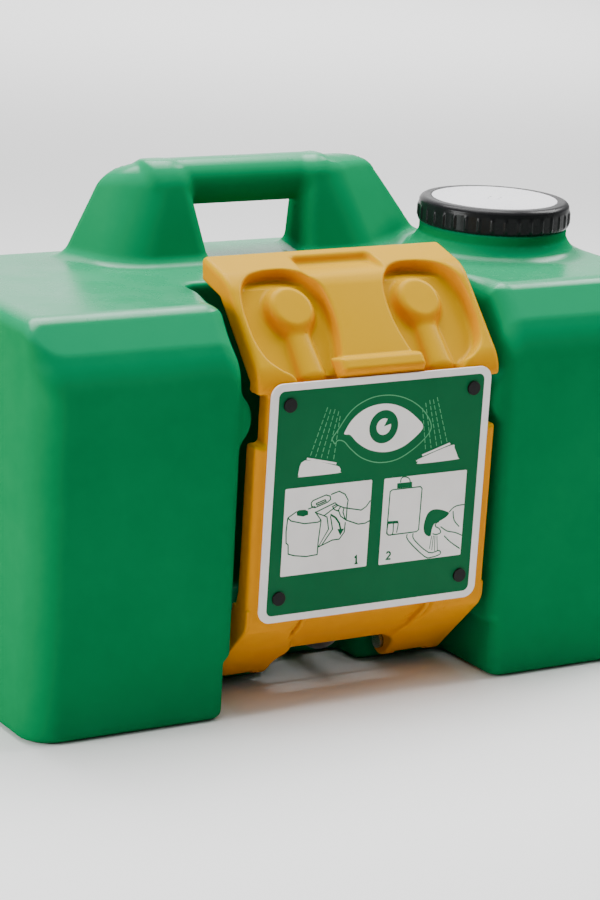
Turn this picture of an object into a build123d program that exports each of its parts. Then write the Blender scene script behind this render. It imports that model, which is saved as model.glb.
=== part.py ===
from build123d import *
import os
import math

os.makedirs("parts", exist_ok=True)

# ------------------------------------------------------------------
# Portable gravity-fed eyewash station.  Millimetres, +Z up, +Y to the
# back, +X to the right as seen from the front.  Origin: centre of the
# tank's flat base.
# ------------------------------------------------------------------

# tank
TANK_W = 570.0          # width over the two lobes
TANK_D = 252.0          # front to back
DECK_Z = 314.0          # top deck
WALL = 3.5              # moulded wall
CORNER_R = 27.0         # vertical corners
LOBE_CH_Y = 34.3        # front top chamfer, depth
LOBE_CH_Z = 36.8        # front top chamfer, height
REC_HALF = 116.5        # recess half width
REC_BACK_Y = -18.5      # recess back wall
BLOCK_IN = 47.0         # foot blocks, inner face
BLOCK_Y = -50.0         # foot blocks, front face
BLOCK_Z = 62.0          # foot blocks, top
BUMP_X = 125.0          # snap bumps, centre from the middle
BUMP_Z = 232.0          # snap bumps
BUMP_R = 18.0

# handle
H_X = -8.0
BAR_Y = 78.2
BAR_Z = 373.3
BAR_R = 18.8

# filler
CAP_X = 201.5
CAP_Y = 30.2
CAP_R = 63.2
CAP_TOP = 355.8
CAP_BOT = 332.0
NECK_R = 54.0
NECK_ID = 50.0
NECK_TOP = 350.2
LABEL_R = 51.6

# arm hinge
PIV_Y = -63.0
PIV_Z = 21.0
EYE_R = 12.0
PIN_R = 4.0
BUSH_R = 6.0

# arm tray
ARM_HALF = 105.0
SKIN = 3.0
RIM = 16.0
LEG_IN = 55.0
A0 = (-31.8, 337.7)     # back edge of the top flange
A1 = (-72.0, 327.0)     # flange / facet bend
A2 = (-130.5, 264.0)    # facet / front bend
A3 = (-127.0, 68.0)     # front / leg chamfer bend

SIGN_W = 195.4
SIGN_H = 187.0
SIGN_T = 1.5
SIGN_MID_Z = 166.1

HEAD_X = 56.0
HEAD_S = 58.0
TEAR_DEPTH = 12.0

HOSE_R = 7.0
HOSE_ID = 5.0
TUBE_R = 5.0
TUBE_ID = 3.5

HERE = {}


def keep(name, shape):
    HERE[name] = shape


def yz_prism(pts, x0, x1):
    """Closed polygon in Y,Z pushed along X from x0 to x1."""
    w = Polyline(*[(0, p[0], p[1]) for p in pts], close=True)
    f = make_face(w) if not isinstance(w, Face) else w
    s = extrude(f, amount=x1 - x0, dir=(1, 0, 0))
    return Pos(x0, 0, 0) * s


def cyl(p, d, r, h):
    """Cylinder from point p along direction d."""
    pl = Plane(origin=p, z_dir=d)
    return pl * Cylinder(r, h, align=(Align.CENTER, Align.CENTER, Align.MIN))


def ring(p, d, ro, ri, h):
    return cyl(p, d, ro, h) - cyl(tuple(a - b * 0.5 for a, b in zip(p, d)), d, ri, h + 1.0)


def box3(x0, x1, y0, y1, z0, z1):
    return Pos((x0 + x1) / 2, (y0 + y1) / 2, (z0 + z1) / 2) * Box(x1 - x0, y1 - y0, z1 - z0)


def miter(points, d):
    """Open polyline moved sideways by d to the right of its direction."""
    out = []
    n = len(points)
    for i in range(n):
        if i == 0:
            a, b = points[0], points[1]
            t1 = t2 = (b[0] - a[0], b[1] - a[1])
        elif i == n - 1:
            a, b = points[-2], points[-1]
            t1 = t2 = (b[0] - a[0], b[1] - a[1])
        else:
            t1 = (points[i][0] - points[i - 1][0], points[i][1] - points[i - 1][1])
            t2 = (points[i + 1][0] - points[i][0], points[i + 1][1] - points[i][1])
        l1 = math.hypot(*t1)
        l2 = math.hypot(*t2)
        n1 = (t1[1] / l1, -t1[0] / l1)
        n2 = (t2[1] / l2, -t2[0] / l2)
        m = (n1[0] + n2[0], n1[1] + n2[1])
        k = 1 + n1[0] * n2[0] + n1[1] * n2[1]
        out.append((points[i][0] + d * m[0] / k, points[i][1] + d * m[1] / k))
    return out


# ------------------------------------------------------------------
# Tank shell
# ------------------------------------------------------------------
def plan(t):
    """Outline from above, inset by t."""
    hw = TANK_W / 2 - t
    hd = TANK_D / 2 - t
    s = RectangleRounded(2 * hw, 2 * hd, CORNER_R - t)
    rh = REC_HALF + t
    rb = REC_BACK_Y + t
    cut = Pos(0, (-TANK_D - 40 + rb) / 2 + 0) * Rectangle(2 * rh, TANK_D + 40 + rb)
    s = s - cut
    vs = [v for v in s.vertices() if abs(abs(v.X) - rh) < 0.5 and v.Y < -TANK_D / 2 + t + 1]
    s = fillet(vs, 15.0 - t)
    vs = [v for v in s.vertices() if abs(abs(v.X) - rh) < 0.5 and abs(v.Y - rb) < 0.5]
    s = fillet(vs, 10.0 + t)
    return s


def side(t):
    """Outline from the side (Y,Z), inset by t."""
    hd = TANK_D / 2
    pts = [(-hd, 0), (hd, 0), (hd, DECK_Z), (-hd + LOBE_CH_Y, DECK_Z), (-hd, DECK_Z - LOBE_CH_Z)]
    f = make_face(Polyline(*[(p[0], p[1]) for p in pts], close=True))
    f = f.face() if not isinstance(f, Face) else f
    sk = Sketch() + f
    low = [v for v in sk.vertices() if v.Y < 1]
    sk = fillet(low, 13.0)
    top = [v for v in sk.vertices() if v.Y > 200 and v.X > 0]
    sk = fillet(top, 20.0)
    ch = [v for v in sk.vertices() if v.Y > 200 and v.X < 0]
    sk = fillet(ch, 8.0)
    if t:
        sk = offset(sk, amount=-t)
    return sk


def front(t):
    """Outline from the front (X,Z), inset by t."""
    hw = TANK_W / 2
    pts = [(-hw + 1.5, 0), (hw - 1.5, 0), (hw, 150), (hw - 1.5, DECK_Z), (-hw + 1.5, DECK_Z), (-hw, 150)]
    f = make_face(Polyline(*[(p[0], p[1]) for p in pts], close=True))
    sk = Sketch() + f
    low = [v for v in sk.vertices() if v.Y < 1]
    sk = fillet(low, 17.0)
    top = [v for v in sk.vertices() if v.Y > 200]
    sk = fillet(top, 22.0)
    if t:
        sk = offset(sk, amount=-t)
    return sk


def leg_block(x0, x1, X0, X1, y0, y1, Y0, Y1, z0, z1):
    """Tapered handle leg: base rectangle at z0, top rectangle at z1."""
    a = Plane(origin=((x0 + x1) / 2, (y0 + y1) / 2, z0)) * RectangleRounded(x1 - x0, y1 - y0, min(14, (x1 - x0) / 2.2))
    b = Plane(origin=((X0 + X1) / 2, (Y0 + Y1) / 2, z1)) * RectangleRounded(X1 - X0, Y1 - Y0, min(14, (X1 - X0) / 2.2))
    return loft([a, b])


def tank_body(t):
    a = extrude(plan(t), amount=500)
    a = Pos(0, 0, -50) * a
    b = Plane.YZ * side(t)
    b = Pos(-400, 0, 0) * extrude(b, amount=800)
    c = Plane.XZ * front(t)
    c = Pos(0, 300, 0) * extrude(c, amount=600)
    s = a & b & c
    # foot blocks behind the arm's legs
    for sx in (-1, 1):
        x0, x1 = BLOCK_IN + t, REC_HALF + 12
        blk = box3(min(sx * x0, sx * x1), max(sx * x0, sx * x1), BLOCK_Y + t, REC_BACK_Y + 12, t, BLOCK_Z - t)
        s = s + blk
    # carrying handle, hollow
    for sx in (-1, 1):
        xi0, xo0 = (51.0 if sx < 0 else 42.0) + t, 141.0 - t
        xi1, xo1 = (57.0 if sx < 0 else 45.0) + t, 106.0 - t
        lo = sorted((H_X + sx * xi0, H_X + sx * xo0))
        hi = sorted((H_X + sx * xi1, H_X + sx * xo1))
        s = s + leg_block(lo[0], lo[1], hi[0], hi[1], 34 + t, 112 - t, BAR_Y - BAR_R + t, BAR_Y + BAR_R - t, DECK_Z - 16, BAR_Z + 17.0 - t)
    bar = cyl((H_X - 90, BAR_Y, BAR_Z), (1, 0, 0), BAR_R - t, 180)
    s = s + bar
    # filler mound and neck
    zt = NECK_TOP if t == 0 else NECK_TOP + 1
    r = NECK_R if t == 0 else NECK_ID
    pr = [(0, DECK_Z - 14), (80 - t, DECK_Z - 14), (80 - t, DECK_Z - t), (68 - t, DECK_Z + 3 - t), (60 - t, DECK_Z + 9 - t), (r + (3.5 if t == 0 else 0), DECK_Z + 12.5), (r, DECK_Z + 17), (r, zt), (0, zt)]
    f = make_face(Polyline(*[(p[0], 0, p[1]) for p in pr], close=True))
    m = revolve(f, Axis.Z)
    s = s + Pos(CAP_X, CAP_Y, 0) * m
    # snap bumps that hold the arm shut
    for sx in (-1, 1):
        s = s + cyl((sx * BUMP_X, -122 + t, BUMP_Z), (0, 1, 0), BUMP_R - t, 16 - 2 * t)
    return s


outer = tank_body(0.0)
inner = tank_body(WALL)
shell = outer - inner
# outlet hole
OUT_Z = 24.0
shell = shell - cyl((0, REC_BACK_Y - 5, OUT_Z), (0, 1, 0), 7.0, 15)
# bosses for the brass inserts in the foot blocks
INS = [(sx * x, 50.0) for sx in (-1, 1) for x in (70.0, 90.0)]
for x, z in INS:
    shell = shell + cyl((x, BLOCK_Y + 1, z), (0, 1, 0), 7.5, 15.5)
for x, z in INS:
    shell = shell - cyl((x, BLOCK_Y - 1, z), (0, 1, 0), 4.5, 13)
keep("tank_shell", shell)

keep("bracket_inserts", Compound(children=[ring((x, BLOCK_Y, z), (0, 1, 0), 4.5, 2.5, 12).solid() for x, z in INS]))

# ------------------------------------------------------------------
# Outlet: bulkhead fitting, gasket, lock nut, strainer
# ------------------------------------------------------------------
fit = extrude(Plane(origin=(0, -25.5, OUT_Z), x_dir=(1, 0, 0), z_dir=(0, 1, 0)) * RegularPolygon(13.5, 6), amount=5.0)
fit = fit + cyl((0, -42.0, OUT_Z), (0, 1, 0), HOSE_ID, 17.0)
fit = fit + cyl((0, -20.5, OUT_Z), (0, 1, 0), 7.0, 24.5)
fit = fit - cyl((0, -43.0, OUT_Z), (0, 1, 0), 3.6, 50)
keep("outlet_fitting", fit)
keep("outlet_gasket", ring((0, -20.5, OUT_Z), (0, 1, 0), 12.5, 7.0, 2.0))
nut = extrude(Plane(origin=(0, -15.0, OUT_Z), x_dir=(1, 0, 0), z_dir=(0, 1, 0)) * RegularPolygon(14.0, 6), amount=7.0)
nut = nut - cyl((0, -16, OUT_Z), (0, 1, 0), 7.0, 10)
keep("outlet_locknut", nut)
st = cyl((0, -7.5, OUT_Z), (0, 1, 0), 9.5, 34) - cyl((0, -8.5, OUT_Z), (0, 1, 0), 7.0, 33)
for k in range(8):
    a = k * 45
    slot = Pos(0, 12, OUT_Z) * Rot(0, a, 0) * Pos(0, 0, 8.5) * Box(2.4, 22, 6)
    st = st - slot
keep("outlet_strainer", st)

# ------------------------------------------------------------------
# Hinge: brackets on the foot blocks, pins, screws, bushes
# ------------------------------------------------------------------
def bracket(sx):
    x0, x1 = sorted((sx * 60.0, sx * 100.0))
    knuckle = cyl((x0, PIV_Y, PIV_Z), (1, 0, 0), 8.0, x1 - x0)
    web = yz_prism([(PIV_Y + 7.6, PIV_Z - 0.5), (BLOCK_Y - 4, 34), (BLOCK_Y - 4, 43), (PIV_Y - 2, PIV_Z + 7.6), (PIV_Y, PIV_Z)], x0, x1)
    plate = box3(x0, x1, BLOCK_Y - 4, BLOCK_Y, 31, 60)
    b = knuckle + web + plate
    b = b - cyl((x0 - 1, PIV_Y, PIV_Z), (1, 0, 0), PIN_R, x1 - x0 + 2)
    for x in (70.0, 90.0):
        b = b - cyl((sx * x, BLOCK_Y - 30, 50.0), (0, 1, 0), 2.5, 40)
        b = b - cyl((sx * x, BLOCK_Y - 34, 50.0), (0, 1, 0), 5.0, 30)
    # lightening gap in the web, so that it is a fork of three ribs
    for x in (70.0, 90.0):
        b = b - box3(sx * x - 5.0, sx * x + 5.0, PIV_Y - 1, BLOCK_Y - 4, PIV_Z + 8.5, 60)
    return b


for nm, sx in (("left", -1), ("right", 1)):
    keep(nm + "_hinge_bracket", bracket(sx))
    xi, xo = sx * 53.6, sx * 106.0
    x0, x1 = sorted((xi, xo))
    pin = cyl((x0, PIV_Y, PIV_Z), (1, 0, 0), PIN_R, x1 - x0)
    hx0, hx1 = sorted((sx * 51.2, sx * 53.6))
    pin = pin + cyl((hx0, PIV_Y, PIV_Z), (1, 0, 0), 6.5, hx1 - hx0)
    keep(nm + "_hinge_pin", pin)
scr = []
for x, z in INS:
    scr.append((cyl((x, BLOCK_Y - 4, z), (0, 1, 0), 2.5, 14) + cyl((x, BLOCK_Y - 7, z), (0, 1, 0), 4.6, 3.0)).solid())
keep("hinge_bracket_screws", Compound(children=scr))

# ------------------------------------------------------------------
# Arm tray
# ------------------------------------------------------------------
tang = (PIV_Y - EYE_R * math.sqrt(0.5), PIV_Z - EYE_R * math.sqrt(0.5))
end_a = math.radians(229)
skin_end = (PIV_Y + EYE_R * math.cos(end_a), PIV_Z + EYE_R * math.sin(end_a))
path = [A0, A1, A2, A3, tang]
# path runs down the outside: its inside is on the left, so d is negative
inn = miter(path, -SKIN)
rim = miter(path, -RIM)
deep = miter([A2, A3, tang], -24.0)

# the rim follows the skin; along the leg it deepens to take the eye
outer_poly = path + [rim[4], rim[3], rim[2], rim[1], rim[0]]
tray = yz_prism(outer_poly, -ARM_HALF, ARM_HALF)
cav_far = miter(path, -RIM - 14)
cav = [inn[1], inn[2], inn[3], (inn[4][0] + 30, inn[4][1] - 30), (cav_far[4][0] + 30, cav_far[4][1] - 30), cav_far[3], cav_far[2], cav_far[1]]
tray = tray - yz_prism(cav, -ARM_HALF + SKIN, ARM_HALF - SKIN)
# flange pocket underneath, leaving a back rim
fl_t = ((A0[0] - A1[0]), (A0[1] - A1[1]))
fl_l = math.hypot(*fl_t)
fl_t = (fl_t[0] / fl_l, fl_t[1] / fl_l)
fl_n = (fl_t[1], -fl_t[0])
def fl(s, d):
    return (A1[0] + fl_t[0] * s + fl_n[0] * d, A1[1] + fl_t[1] * s + fl_n[1] * d)
tray = tray - yz_prism([inn[1], fl(fl_l - SKIN, SKIN), fl(fl_l - SKIN, 40), fl(-6, 40)], -ARM_HALF + SKIN, ARM_HALF - SKIN)
# open the middle between the two legs
belly_z = 34.0
tray = tray - box3(-LEG_IN + 0.0, LEG_IN - 0.0, -140, 0, -10, belly_z)
# belly: fuller skin in the middle, room for the hose behind it
bel = [A3, (-127.4, 60.0), (-104.0, belly_z), (-101.2, belly_z + 1.5), (-124.2, 61.2), (-124.0, 69.0)]
tray = tray - yz_prism([(-140, 20), (-60, 20), (inn[3][0] + 4, inn[3][1] - 6), (inn[3][0] - 0.01, inn[3][1]), (-140, 66)], -LEG_IN, LEG_IN)
bel_out = [(A3[0], A3[1] + 4), (-127.2, 61.0), (-103.8, belly_z), (-100.6, belly_z + 2.0), (-123.9, 62.4), (-123.9, A3[1] + 4)]
tray = tray + yz_prism(bel_out, -LEG_IN, LEG_IN)
# leg walls with the hinge eyes
for sx in (-1, 1):
    for xa, xb in ((LEG_IN, LEG_IN + SKIN), (ARM_HALF - SKIN, ARM_HALF)):
        x0, x1 = sorted((sx * xa, sx * xb))
        d24 = (deep[1][0], deep[1][1])
        wall_poly = [A3, tang, (PIV_Y, PIV_Z), (PIV_Y + EYE_R * 0.70, PIV_Z + EYE_R * 0.70), (-96.0, 66.0), (-106.0, 84.0), (-124.2, 84.0)]
        tray = tray + yz_prism(wall_poly, x0, x1)
        tray = tray + cyl((x0, PIV_Y, PIV_Z), (1, 0, 0), EYE_R, SKIN)
    # rounded end of the leg's skin, only under the front of the eye
    x0, x1 = sorted((sx * LEG_IN, sx * ARM_HALF))
    e_out = [(PIV_Y + EYE_R * math.cos(a), PIV_Z + EYE_R * math.sin(a)) for a in (math.radians(223), math.radians(226), math.radians(229))]
    e_in = [(PIV_Y + (EYE_R - SKIN) * math.cos(a), PIV_Z + (EYE_R - SKIN) * math.sin(a)) for a in (math.radians(229), math.radians(226), math.radians(223))]
    tray = tray + yz_prism(e_out + e_in, x0, x1)
for sx in (-1, 1):
    for xa, xb in ((LEG_IN, LEG_IN + SKIN), (ARM_HALF - SKIN, ARM_HALF)):
        x0, x1 = sorted((sx * xa, sx * xb))
        tray = tray - cyl((x0 - 1, PIV_Y, PIV_Z), (1, 0, 0), BUSH_R, SKIN + 2)

# facet frame: s runs up the facet from A2, d runs inwards
ft = (A1[0] - A2[0], A1[1] - A2[1])
ftl = math.hypot(*ft)
ft = (ft[0] / ftl, ft[1] / ftl)
fn = (ft[1], -ft[0])


def fp(x, s, d):
    return (x, A2[0] + ft[0] * s + fn[0] * d, A2[1] + ft[1] * s + fn[1] * d)


IN = (0, fn[0], fn[1])
OUT = (0, -fn[0], -fn[1])
UPS = (0, ft[0], ft[1])
DNS = (0, -ft[0], -ft[1])


def tear(sx, grow, d0, d1, s_low):
    """Teardrop prism on the facet, from depth d0 to d1."""
    pts = [(29, s_low), (25, 20), (21, 40), (22, 60), (28, 77), (40, 87), (60, 91), (80, 88), (93, 78), (98.5, 58), (98.5, 34), (92, 18), (76, 6), (66, s_low)]
    c = (60.0, 48.0)
    out = []
    for x, s in pts:
        dx, ds = x - c[0], s - c[1]
        L = math.hypot(dx, ds)
        k = (L + grow) / L
        s2 = c[1] + ds * k
        if s == s_low:
            s2 = s_low
        out.append((c[0] + dx * k, s2))
    w = Polyline(*[fp(sx * x, s, d0) for x, s in out], close=True)
    return extrude(make_face(w), amount=d1 - d0, dir=IN)


for sx in (-1, 1):
    tub = tear(sx, 0.0, 1.0, TEAR_DEPTH + SKIN, 4.0)
    tray = tray + tub
    tray = tray - tear(sx, -2.2, -12.0, TEAR_DEPTH, 4.0 + 2.0)
    # raised nozzle cover and its stem, hollow behind
    cov = cyl(fp(sx * HEAD_X, HEAD_S, 3.6), IN, 17.5, TEAR_DEPTH + SKIN - 3.6 - 0.2)
    stem_o = Plane(origin=fp(sx * HEAD_X, 22.0, 10.9), x_dir=(1, 0, 0), z_dir=IN) * Box(19, 36, 7.8)
    tray = tray + cov + stem_o
for sx in (-1, 1):
    tray = tray - cyl(fp(sx * HEAD_X, HEAD_S, 6.6), IN, 14.0, 30)
    stem_i = Plane(origin=fp(sx * HEAD_X, 20.0, 18.5), x_dir=(1, 0, 0), z_dir=IN) * Box(13.0, 60, 17)
    tray = tray - stem_i

# finger pocket in the top flange
tray = tray + yz_prism([fl(-2, 2), fl(28.5, 2), fl(28.5, 10), fl(-2, 9)], -36, 36)
tray = tray - yz_prism([fl(-8, -8), fl(26.0, -8), fl(26.0, 7.0), fl(-1.0, 3.0)], -33, 33)
# lip above the sign
lp = [fp(0, 3.5, -4.5), fp(0, 9.5, -4.0), fp(0, 11.5, 0.5), fp(0, 1.5, 0.5)]
tray = tray + yz_prism([(p[1], p[2]) for p in lp], -41, 41)
# side notches round the tank's snap bumps
for sx in (-1, 1):
    x0, x1 = sorted((sx * (ARM_HALF - 8.0), sx * (ARM_HALF + 5)))
    tray = tray - box3(x0, x1, -140, -100, BUMP_Z - 19, BUMP_Z + 19)
    x0, x1 = sorted((sx * (ARM_HALF - 11.0), sx * (ARM_HALF - 8.0)))
    tray = tray + yz_prism([(-126.9, BUMP_Z - 22), (-113.2, BUMP_Z - 22), (-113.8, BUMP_Z + 22), (-127.5, BUMP_Z + 22)], x0, x1)

# front face frame: u up the face from A3, d inwards
gt = (A2[0] - A3[0], A2[1] - A3[1])
gl = math.hypot(*gt)
gt = (gt[0] / gl, gt[1] / gl)
gn = (gt[1], -gt[0])


def gp(x, z, d):
    u = (z - A3[1]) / gt[1]
    return (x, A3[0] + gt[0] * u + gn[0] * d, A3[1] + gt[1] * u + gn[1] * d)


GIN = (0, gn[0], gn[1])
GOUT = (0, -gn[0], -gn[1])

RIV = [(sx * 81.6, z) for sx in (-1, 1) for z in (243.1, 91.9)]
for x, z in RIV:
    tray = tray - cyl(gp(x, z, -5), GIN, 3.0, 12)
# bosses behind the skin: tee foot and riser clips
TEE_Z = 112.0
BOSS = [(18.0, TEE_Z), (-18.0, TEE_Z), (44.0, 190.0), (-44.0, 190.0)]
for x, z in BOSS:
    tray = tray + cyl(gp(x, z, 2.0), GIN, 5.0, 8.0)
for x, z in BOSS:
    tray = tray - cyl(gp(x, z, 3.5), GIN, 1.75, 12.0)
keep("arm_shell", tray)

# flanged bushes in the leg walls
bs = []
for sx in (-1, 1):
    for xo, fx in ((LEG_IN, LEG_IN + SKIN), (ARM_HALF, ARM_HALF - SKIN - 1.2)):
        x0, x1 = sorted((sx * (LEG_IN if xo == LEG_IN else ARM_HALF - SKIN), sx * (LEG_IN + SKIN if xo == LEG_IN else ARM_HALF)))
        b = cyl((x0, PIV_Y, PIV_Z), (1, 0, 0), BUSH_R, SKIN)
        f0, f1 = sorted((sx * fx, sx * (fx + 1.2)))
        b = b + cyl((f0, PIV_Y, PIV_Z), (1, 0, 0), 8.2, 1.2)
        b = b - cyl((min(x0, f0) - 1, PIV_Y, PIV_Z), (1, 0, 0), PIN_R + 0.05, 8)
        bs.append(b.solid())
keep("hinge_bushes", Compound(children=bs))

# sign and rivets
sg = Plane(origin=gp(0, SIGN_MID_Z, 0), x_dir=(1, 0, 0), z_dir=GOUT) * RectangleRounded(SIGN_W, SIGN_H, 10.0)
sg = extrude(sg, amount=SIGN_T, dir=GOUT)
for x, z in RIV:
    sg = sg - cyl(gp(x, z, -5), GIN, 3.0, 12)
keep("sign_plate", sg)
rv = []
for x, z in RIV:
    r = cyl(gp(x, z, -SIGN_T - 1.8), GIN, 5.4, 1.8)
    r = r + cyl(gp(x, z, -SIGN_T), GIN, 3.0, SIGN_T + 7.0)
    rv.append(r.solid())
keep("sign_rivets", Compound(children=rv))

# ------------------------------------------------------------------
# Water parts in the arm
# ------------------------------------------------------------------
# supply hose route, from the outlet barb across the hinge line to the tee
A70 = math.radians(110)
P1 = (0, -74.5, OUT_Z)
HD = (0, math.cos(A70), math.sin(A70))
P2 = (0, P1[1] + HD[1] * 78, P1[2] + HD[2] * 78)
route = [(0, -26.0, OUT_Z), P1, P2]
hose_path = FilletPolyline(*route, radius=[42.0])
prof = Plane(origin=route[0], z_dir=(0, -1, 0)) * (Circle(HOSE_R) - Circle(HOSE_ID))
hose = sweep(prof, path=hose_path)
keep("supply_hose", hose)
hl = hose_path.length
print("hose length", round(hl, 1), "volume ratio", round(hose.volume / (math.pi * (HOSE_R**2 - HOSE_ID**2) * hl), 4))

# tee: hub, hose barb, two riser barbs and a screwed foot
hub = (0, P2[1] + HD[1] * 9, P2[2] + HD[2] * 9)
tee = Pos(*hub) * Sphere(9.5)
tee = tee + cyl((0, P2[1] - HD[1] * 14, P2[2] - HD[2] * 14), HD, HOSE_ID - 0.05, 20)
tee = tee + cyl((-26, hub[1], hub[2]), (1, 0, 0), TUBE_ID, 52)
tee = tee + cyl((-13, hub[1], hub[2]), (1, 0, 0), 6.0, 26)
foot = Plane(origin=gp(0, TEE_Z, 10.0), x_dir=(1, 0, 0), z_dir=GIN) * Box(48, 13, 3, align=(Align.CENTER, Align.CENTER, Align.MIN))
neck = Plane(origin=gp(0, TEE_Z, 12.0), x_dir=(1, 0, 0), z_dir=GIN) * Box(11, 11, 8, align=(Align.CENTER, Align.CENTER, Align.MIN))
tee = tee + foot + neck
for x in (18.0, -18.0):
    tee = tee - cyl(gp(x, TEE_Z, 0), GIN, 1.75, 20)
    tee = tee - cyl(gp(x, TEE_Z, 13.0), GIN, 4.0, 20)
tee = tee - cyl((0, P2[1] - HD[1] * 15, P2[2] - HD[2] * 15), HD, 3.4, 23)
tee = tee - cyl((-27, hub[1], hub[2]), (1, 0, 0), 2.4, 54)
keep("inlet_tee", tee)
ts = []
for x in (18.0, -18.0):
    ts.append((cyl(gp(x, TEE_Z, 5.0), GIN, 1.75, 8.0) + cyl(gp(x, TEE_Z, 13.0), GIN, 3.4, 2.4)).solid())
keep("inlet_tee_screws", Compound(children=ts))

# riser tubes
rc = []
clips = []
cs = []
for nm, sx in (("left", -1), ("right", 1)):
    q0 = (sx * 14.0, hub[1], hub[2])
    q1 = (sx * HEAD_X, hub[1], hub[2])
    top = fp(sx * HEAD_X, 8.0, 17.5)
    q2 = top
    q3 = fp(sx * HEAD_X, 38.0, 17.5)
    pth = FilletPolyline(q0, q1, q2, q3, radius=[19.0, 30.0])
    pf = Plane(origin=q0, z_dir=(sx, 0, 0)) * (Circle(TUBE_R) - Circle(TUBE_ID))
    tb = sweep(pf, path=pth)
    print(nm, "riser length", round(pth.length, 1), "volume ratio", round(tb.volume / (math.pi * (TUBE_R**2 - TUBE_ID**2) * pth.length), 4))
    keep(nm + "_riser_tube", tb)
    # spring clamps on both ends
    rc.append(ring((sx * 18.0 - 3.0, hub[1], hub[2]), (1, 0, 0), TUBE_R + 1.2, TUBE_R, 6).solid())
    rc.append(ring(fp(sx * HEAD_X, 31.0, 17.5), UPS, TUBE_R + 1.2, TUBE_R, 5).solid())
    # clip round the riser, screwed to its boss
    z = 190.0
    k = (z - q1[2]) / (q2[2] - q1[2])
    cy = q1[1] + (q2[1] - q1[1]) * k
    rd = Vector(0, q2[1] - q1[1], q2[2] - q1[2]).normalized()
    ud = (rd.X, rd.Y, rd.Z)
    ctr = (sx * HEAD_X, cy - ud[1] * 4, z - ud[2] * 4)
    cl = cyl(ctr, ud, TUBE_R + 1.6, 8.0)
    tab0 = gp(sx * 47.0, z, 10.0)
    tab = Plane(origin=tab0, x_dir=(1, 0, 0), z_dir=GIN) * Box(18, 8, 1.6, align=(Align.CENTER, Align.CENTER, Align.MIN))
    web = Plane(origin=gp(sx * 51.0, z, 10.2), x_dir=(1, 0, 0), z_dir=GIN) * Box(4.5, 8, 9.0, align=(Align.CENTER, Align.CENTER, Align.MIN))
    cl = cl + tab + web
    cl = cl - cyl((ctr[0] - ud[0] * 20, ctr[1] - ud[1] * 20, ctr[2] - ud[2] * 20), ud, TUBE_R, 60)
    cl = cl - cyl(gp(sx * 44.0, z, 0), GIN, 1.75, 30)
    clips.append(cl.solid())
    cs.append((cyl(gp(sx * 44.0, z, 5.0), GIN, 1.75, 6.6) + cyl(gp(sx * 44.0, z, 11.6), GIN, 3.4, 2.4)).solid())
    # spray head
    hd = cyl(fp(sx * HEAD_X, HEAD_S, 7.6), IN, 14.0, 15.4 - 7.6)
    hd = hd + cyl(fp(sx * HEAD_X, HEAD_S, 15.0), IN, 18.0, 2.4)
    hd = hd + cyl(fp(sx * HEAD_X, HEAD_S, 15.0), IN, 16.0, 10.0)
    hd = hd + cyl(fp(sx * HEAD_X, HEAD_S - 26.0, 17.5), UPS, TUBE_ID, 20)
    hd = hd + cyl(fp(sx * HEAD_X, HEAD_S - 19.5, 17.5), UPS, 5.6, 10)
    hd = hd - cyl(fp(sx * HEAD_X, HEAD_S, 11.0), IN, 11.5, 30)
    hd = hd - cyl(fp(sx * HEAD_X, HEAD_S - 27.0, 17.5), UPS, 2.4, 22)
    hd = hd - cyl(fp(sx * HEAD_X, HEAD_S, 22.5), IN, 14.0, 10)
    keep(nm + "_spray_head", hd)
    fd = cyl(fp(sx * HEAD_X, HEAD_S, 11.0), IN, 11.5, 2.5) - cyl(fp(sx * HEAD_X, HEAD_S, 10), IN, 2.0, 6)
    keep(nm + "_flow_disc", fd)
    sf = cyl(fp(sx * HEAD_X, HEAD_S, 22.5), IN, 14.0, 4.0)
    sf = sf - cyl(fp(sx * HEAD_X, HEAD_S, 21.5), IN, 11.5, 3.4)
    ctr3 = fp(sx * HEAD_X, HEAD_S, 21.0)
    holes = [(0, 0)] + [(5.0, a * 60) for a in range(6)] + [(9.2, a * 30 + 15) for a in range(12)]
    for rr, aa in holes:
        dx = rr * math.cos(math.radians(aa))
        ds = rr * math.sin(math.radians(aa))
        sf = sf - cyl(fp(sx * HEAD_X + dx, HEAD_S + ds, 21.0), IN, 0.9, 10)
    keep(nm + "_spray_face", sf)
keep("riser_clamps", Compound(children=rc))
keep("riser_clips", Compound(children=clips))
keep("riser_clip_screws", Compound(children=cs))

# hose clamps
keep("tank_hose_clamp", ring((0, -39.0, OUT_Z), (0, 1, 0), HOSE_R + 1.4, HOSE_R, 8.0))
hc = (0, P2[1] - HD[1] * 11, P2[2] - HD[2] * 11)
keep("arm_hose_clamp", ring(hc, HD, HOSE_R + 1.5, HOSE_R + 0.06, 8.0))

# ------------------------------------------------------------------
# Filler cap
# ------------------------------------------------------------------
cap = cyl((0, 0, CAP_BOT), (0, 0, 1), CAP_R - 1.0, CAP_TOP - CAP_BOT)
e = cap.edges().filter_by(GeomType.CIRCLE).sort_by(Axis.Z)[-1]
cap = fillet(e, 3.0)
cap = cap - cyl((0, 0, CAP_BOT - 1), (0, 0, 1), NECK_R + 0.5, NECK_TOP + 2.1 - CAP_BOT + 1)
for k in range(36):
    a = math.radians(k * 10)
    cap = cap + cyl(((CAP_R - 1.6) * math.cos(a), (CAP_R - 1.6) * math.sin(a), CAP_BOT + 2.0), (0, 0, 1), 1.6, CAP_TOP - CAP_BOT - 6.5)
cap = cap - cyl((0, 0, CAP_TOP - 0.5), (0, 0, 1), LABEL_R, 5)
VZ = NECK_TOP + 2.1
for k in range(4):
    a = math.radians(k * 90)
    cap = cap - cyl((6 * math.cos(a), 6 * math.sin(a), VZ - 2), (0, 0, 1), 1.0, 10)
cap = cap - cyl((0, 0, VZ - 2), (0, 0, 1), 1.8, 4.4)
keep("fill_cap", Pos(CAP_X, CAP_Y, 0) * cap)
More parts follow.
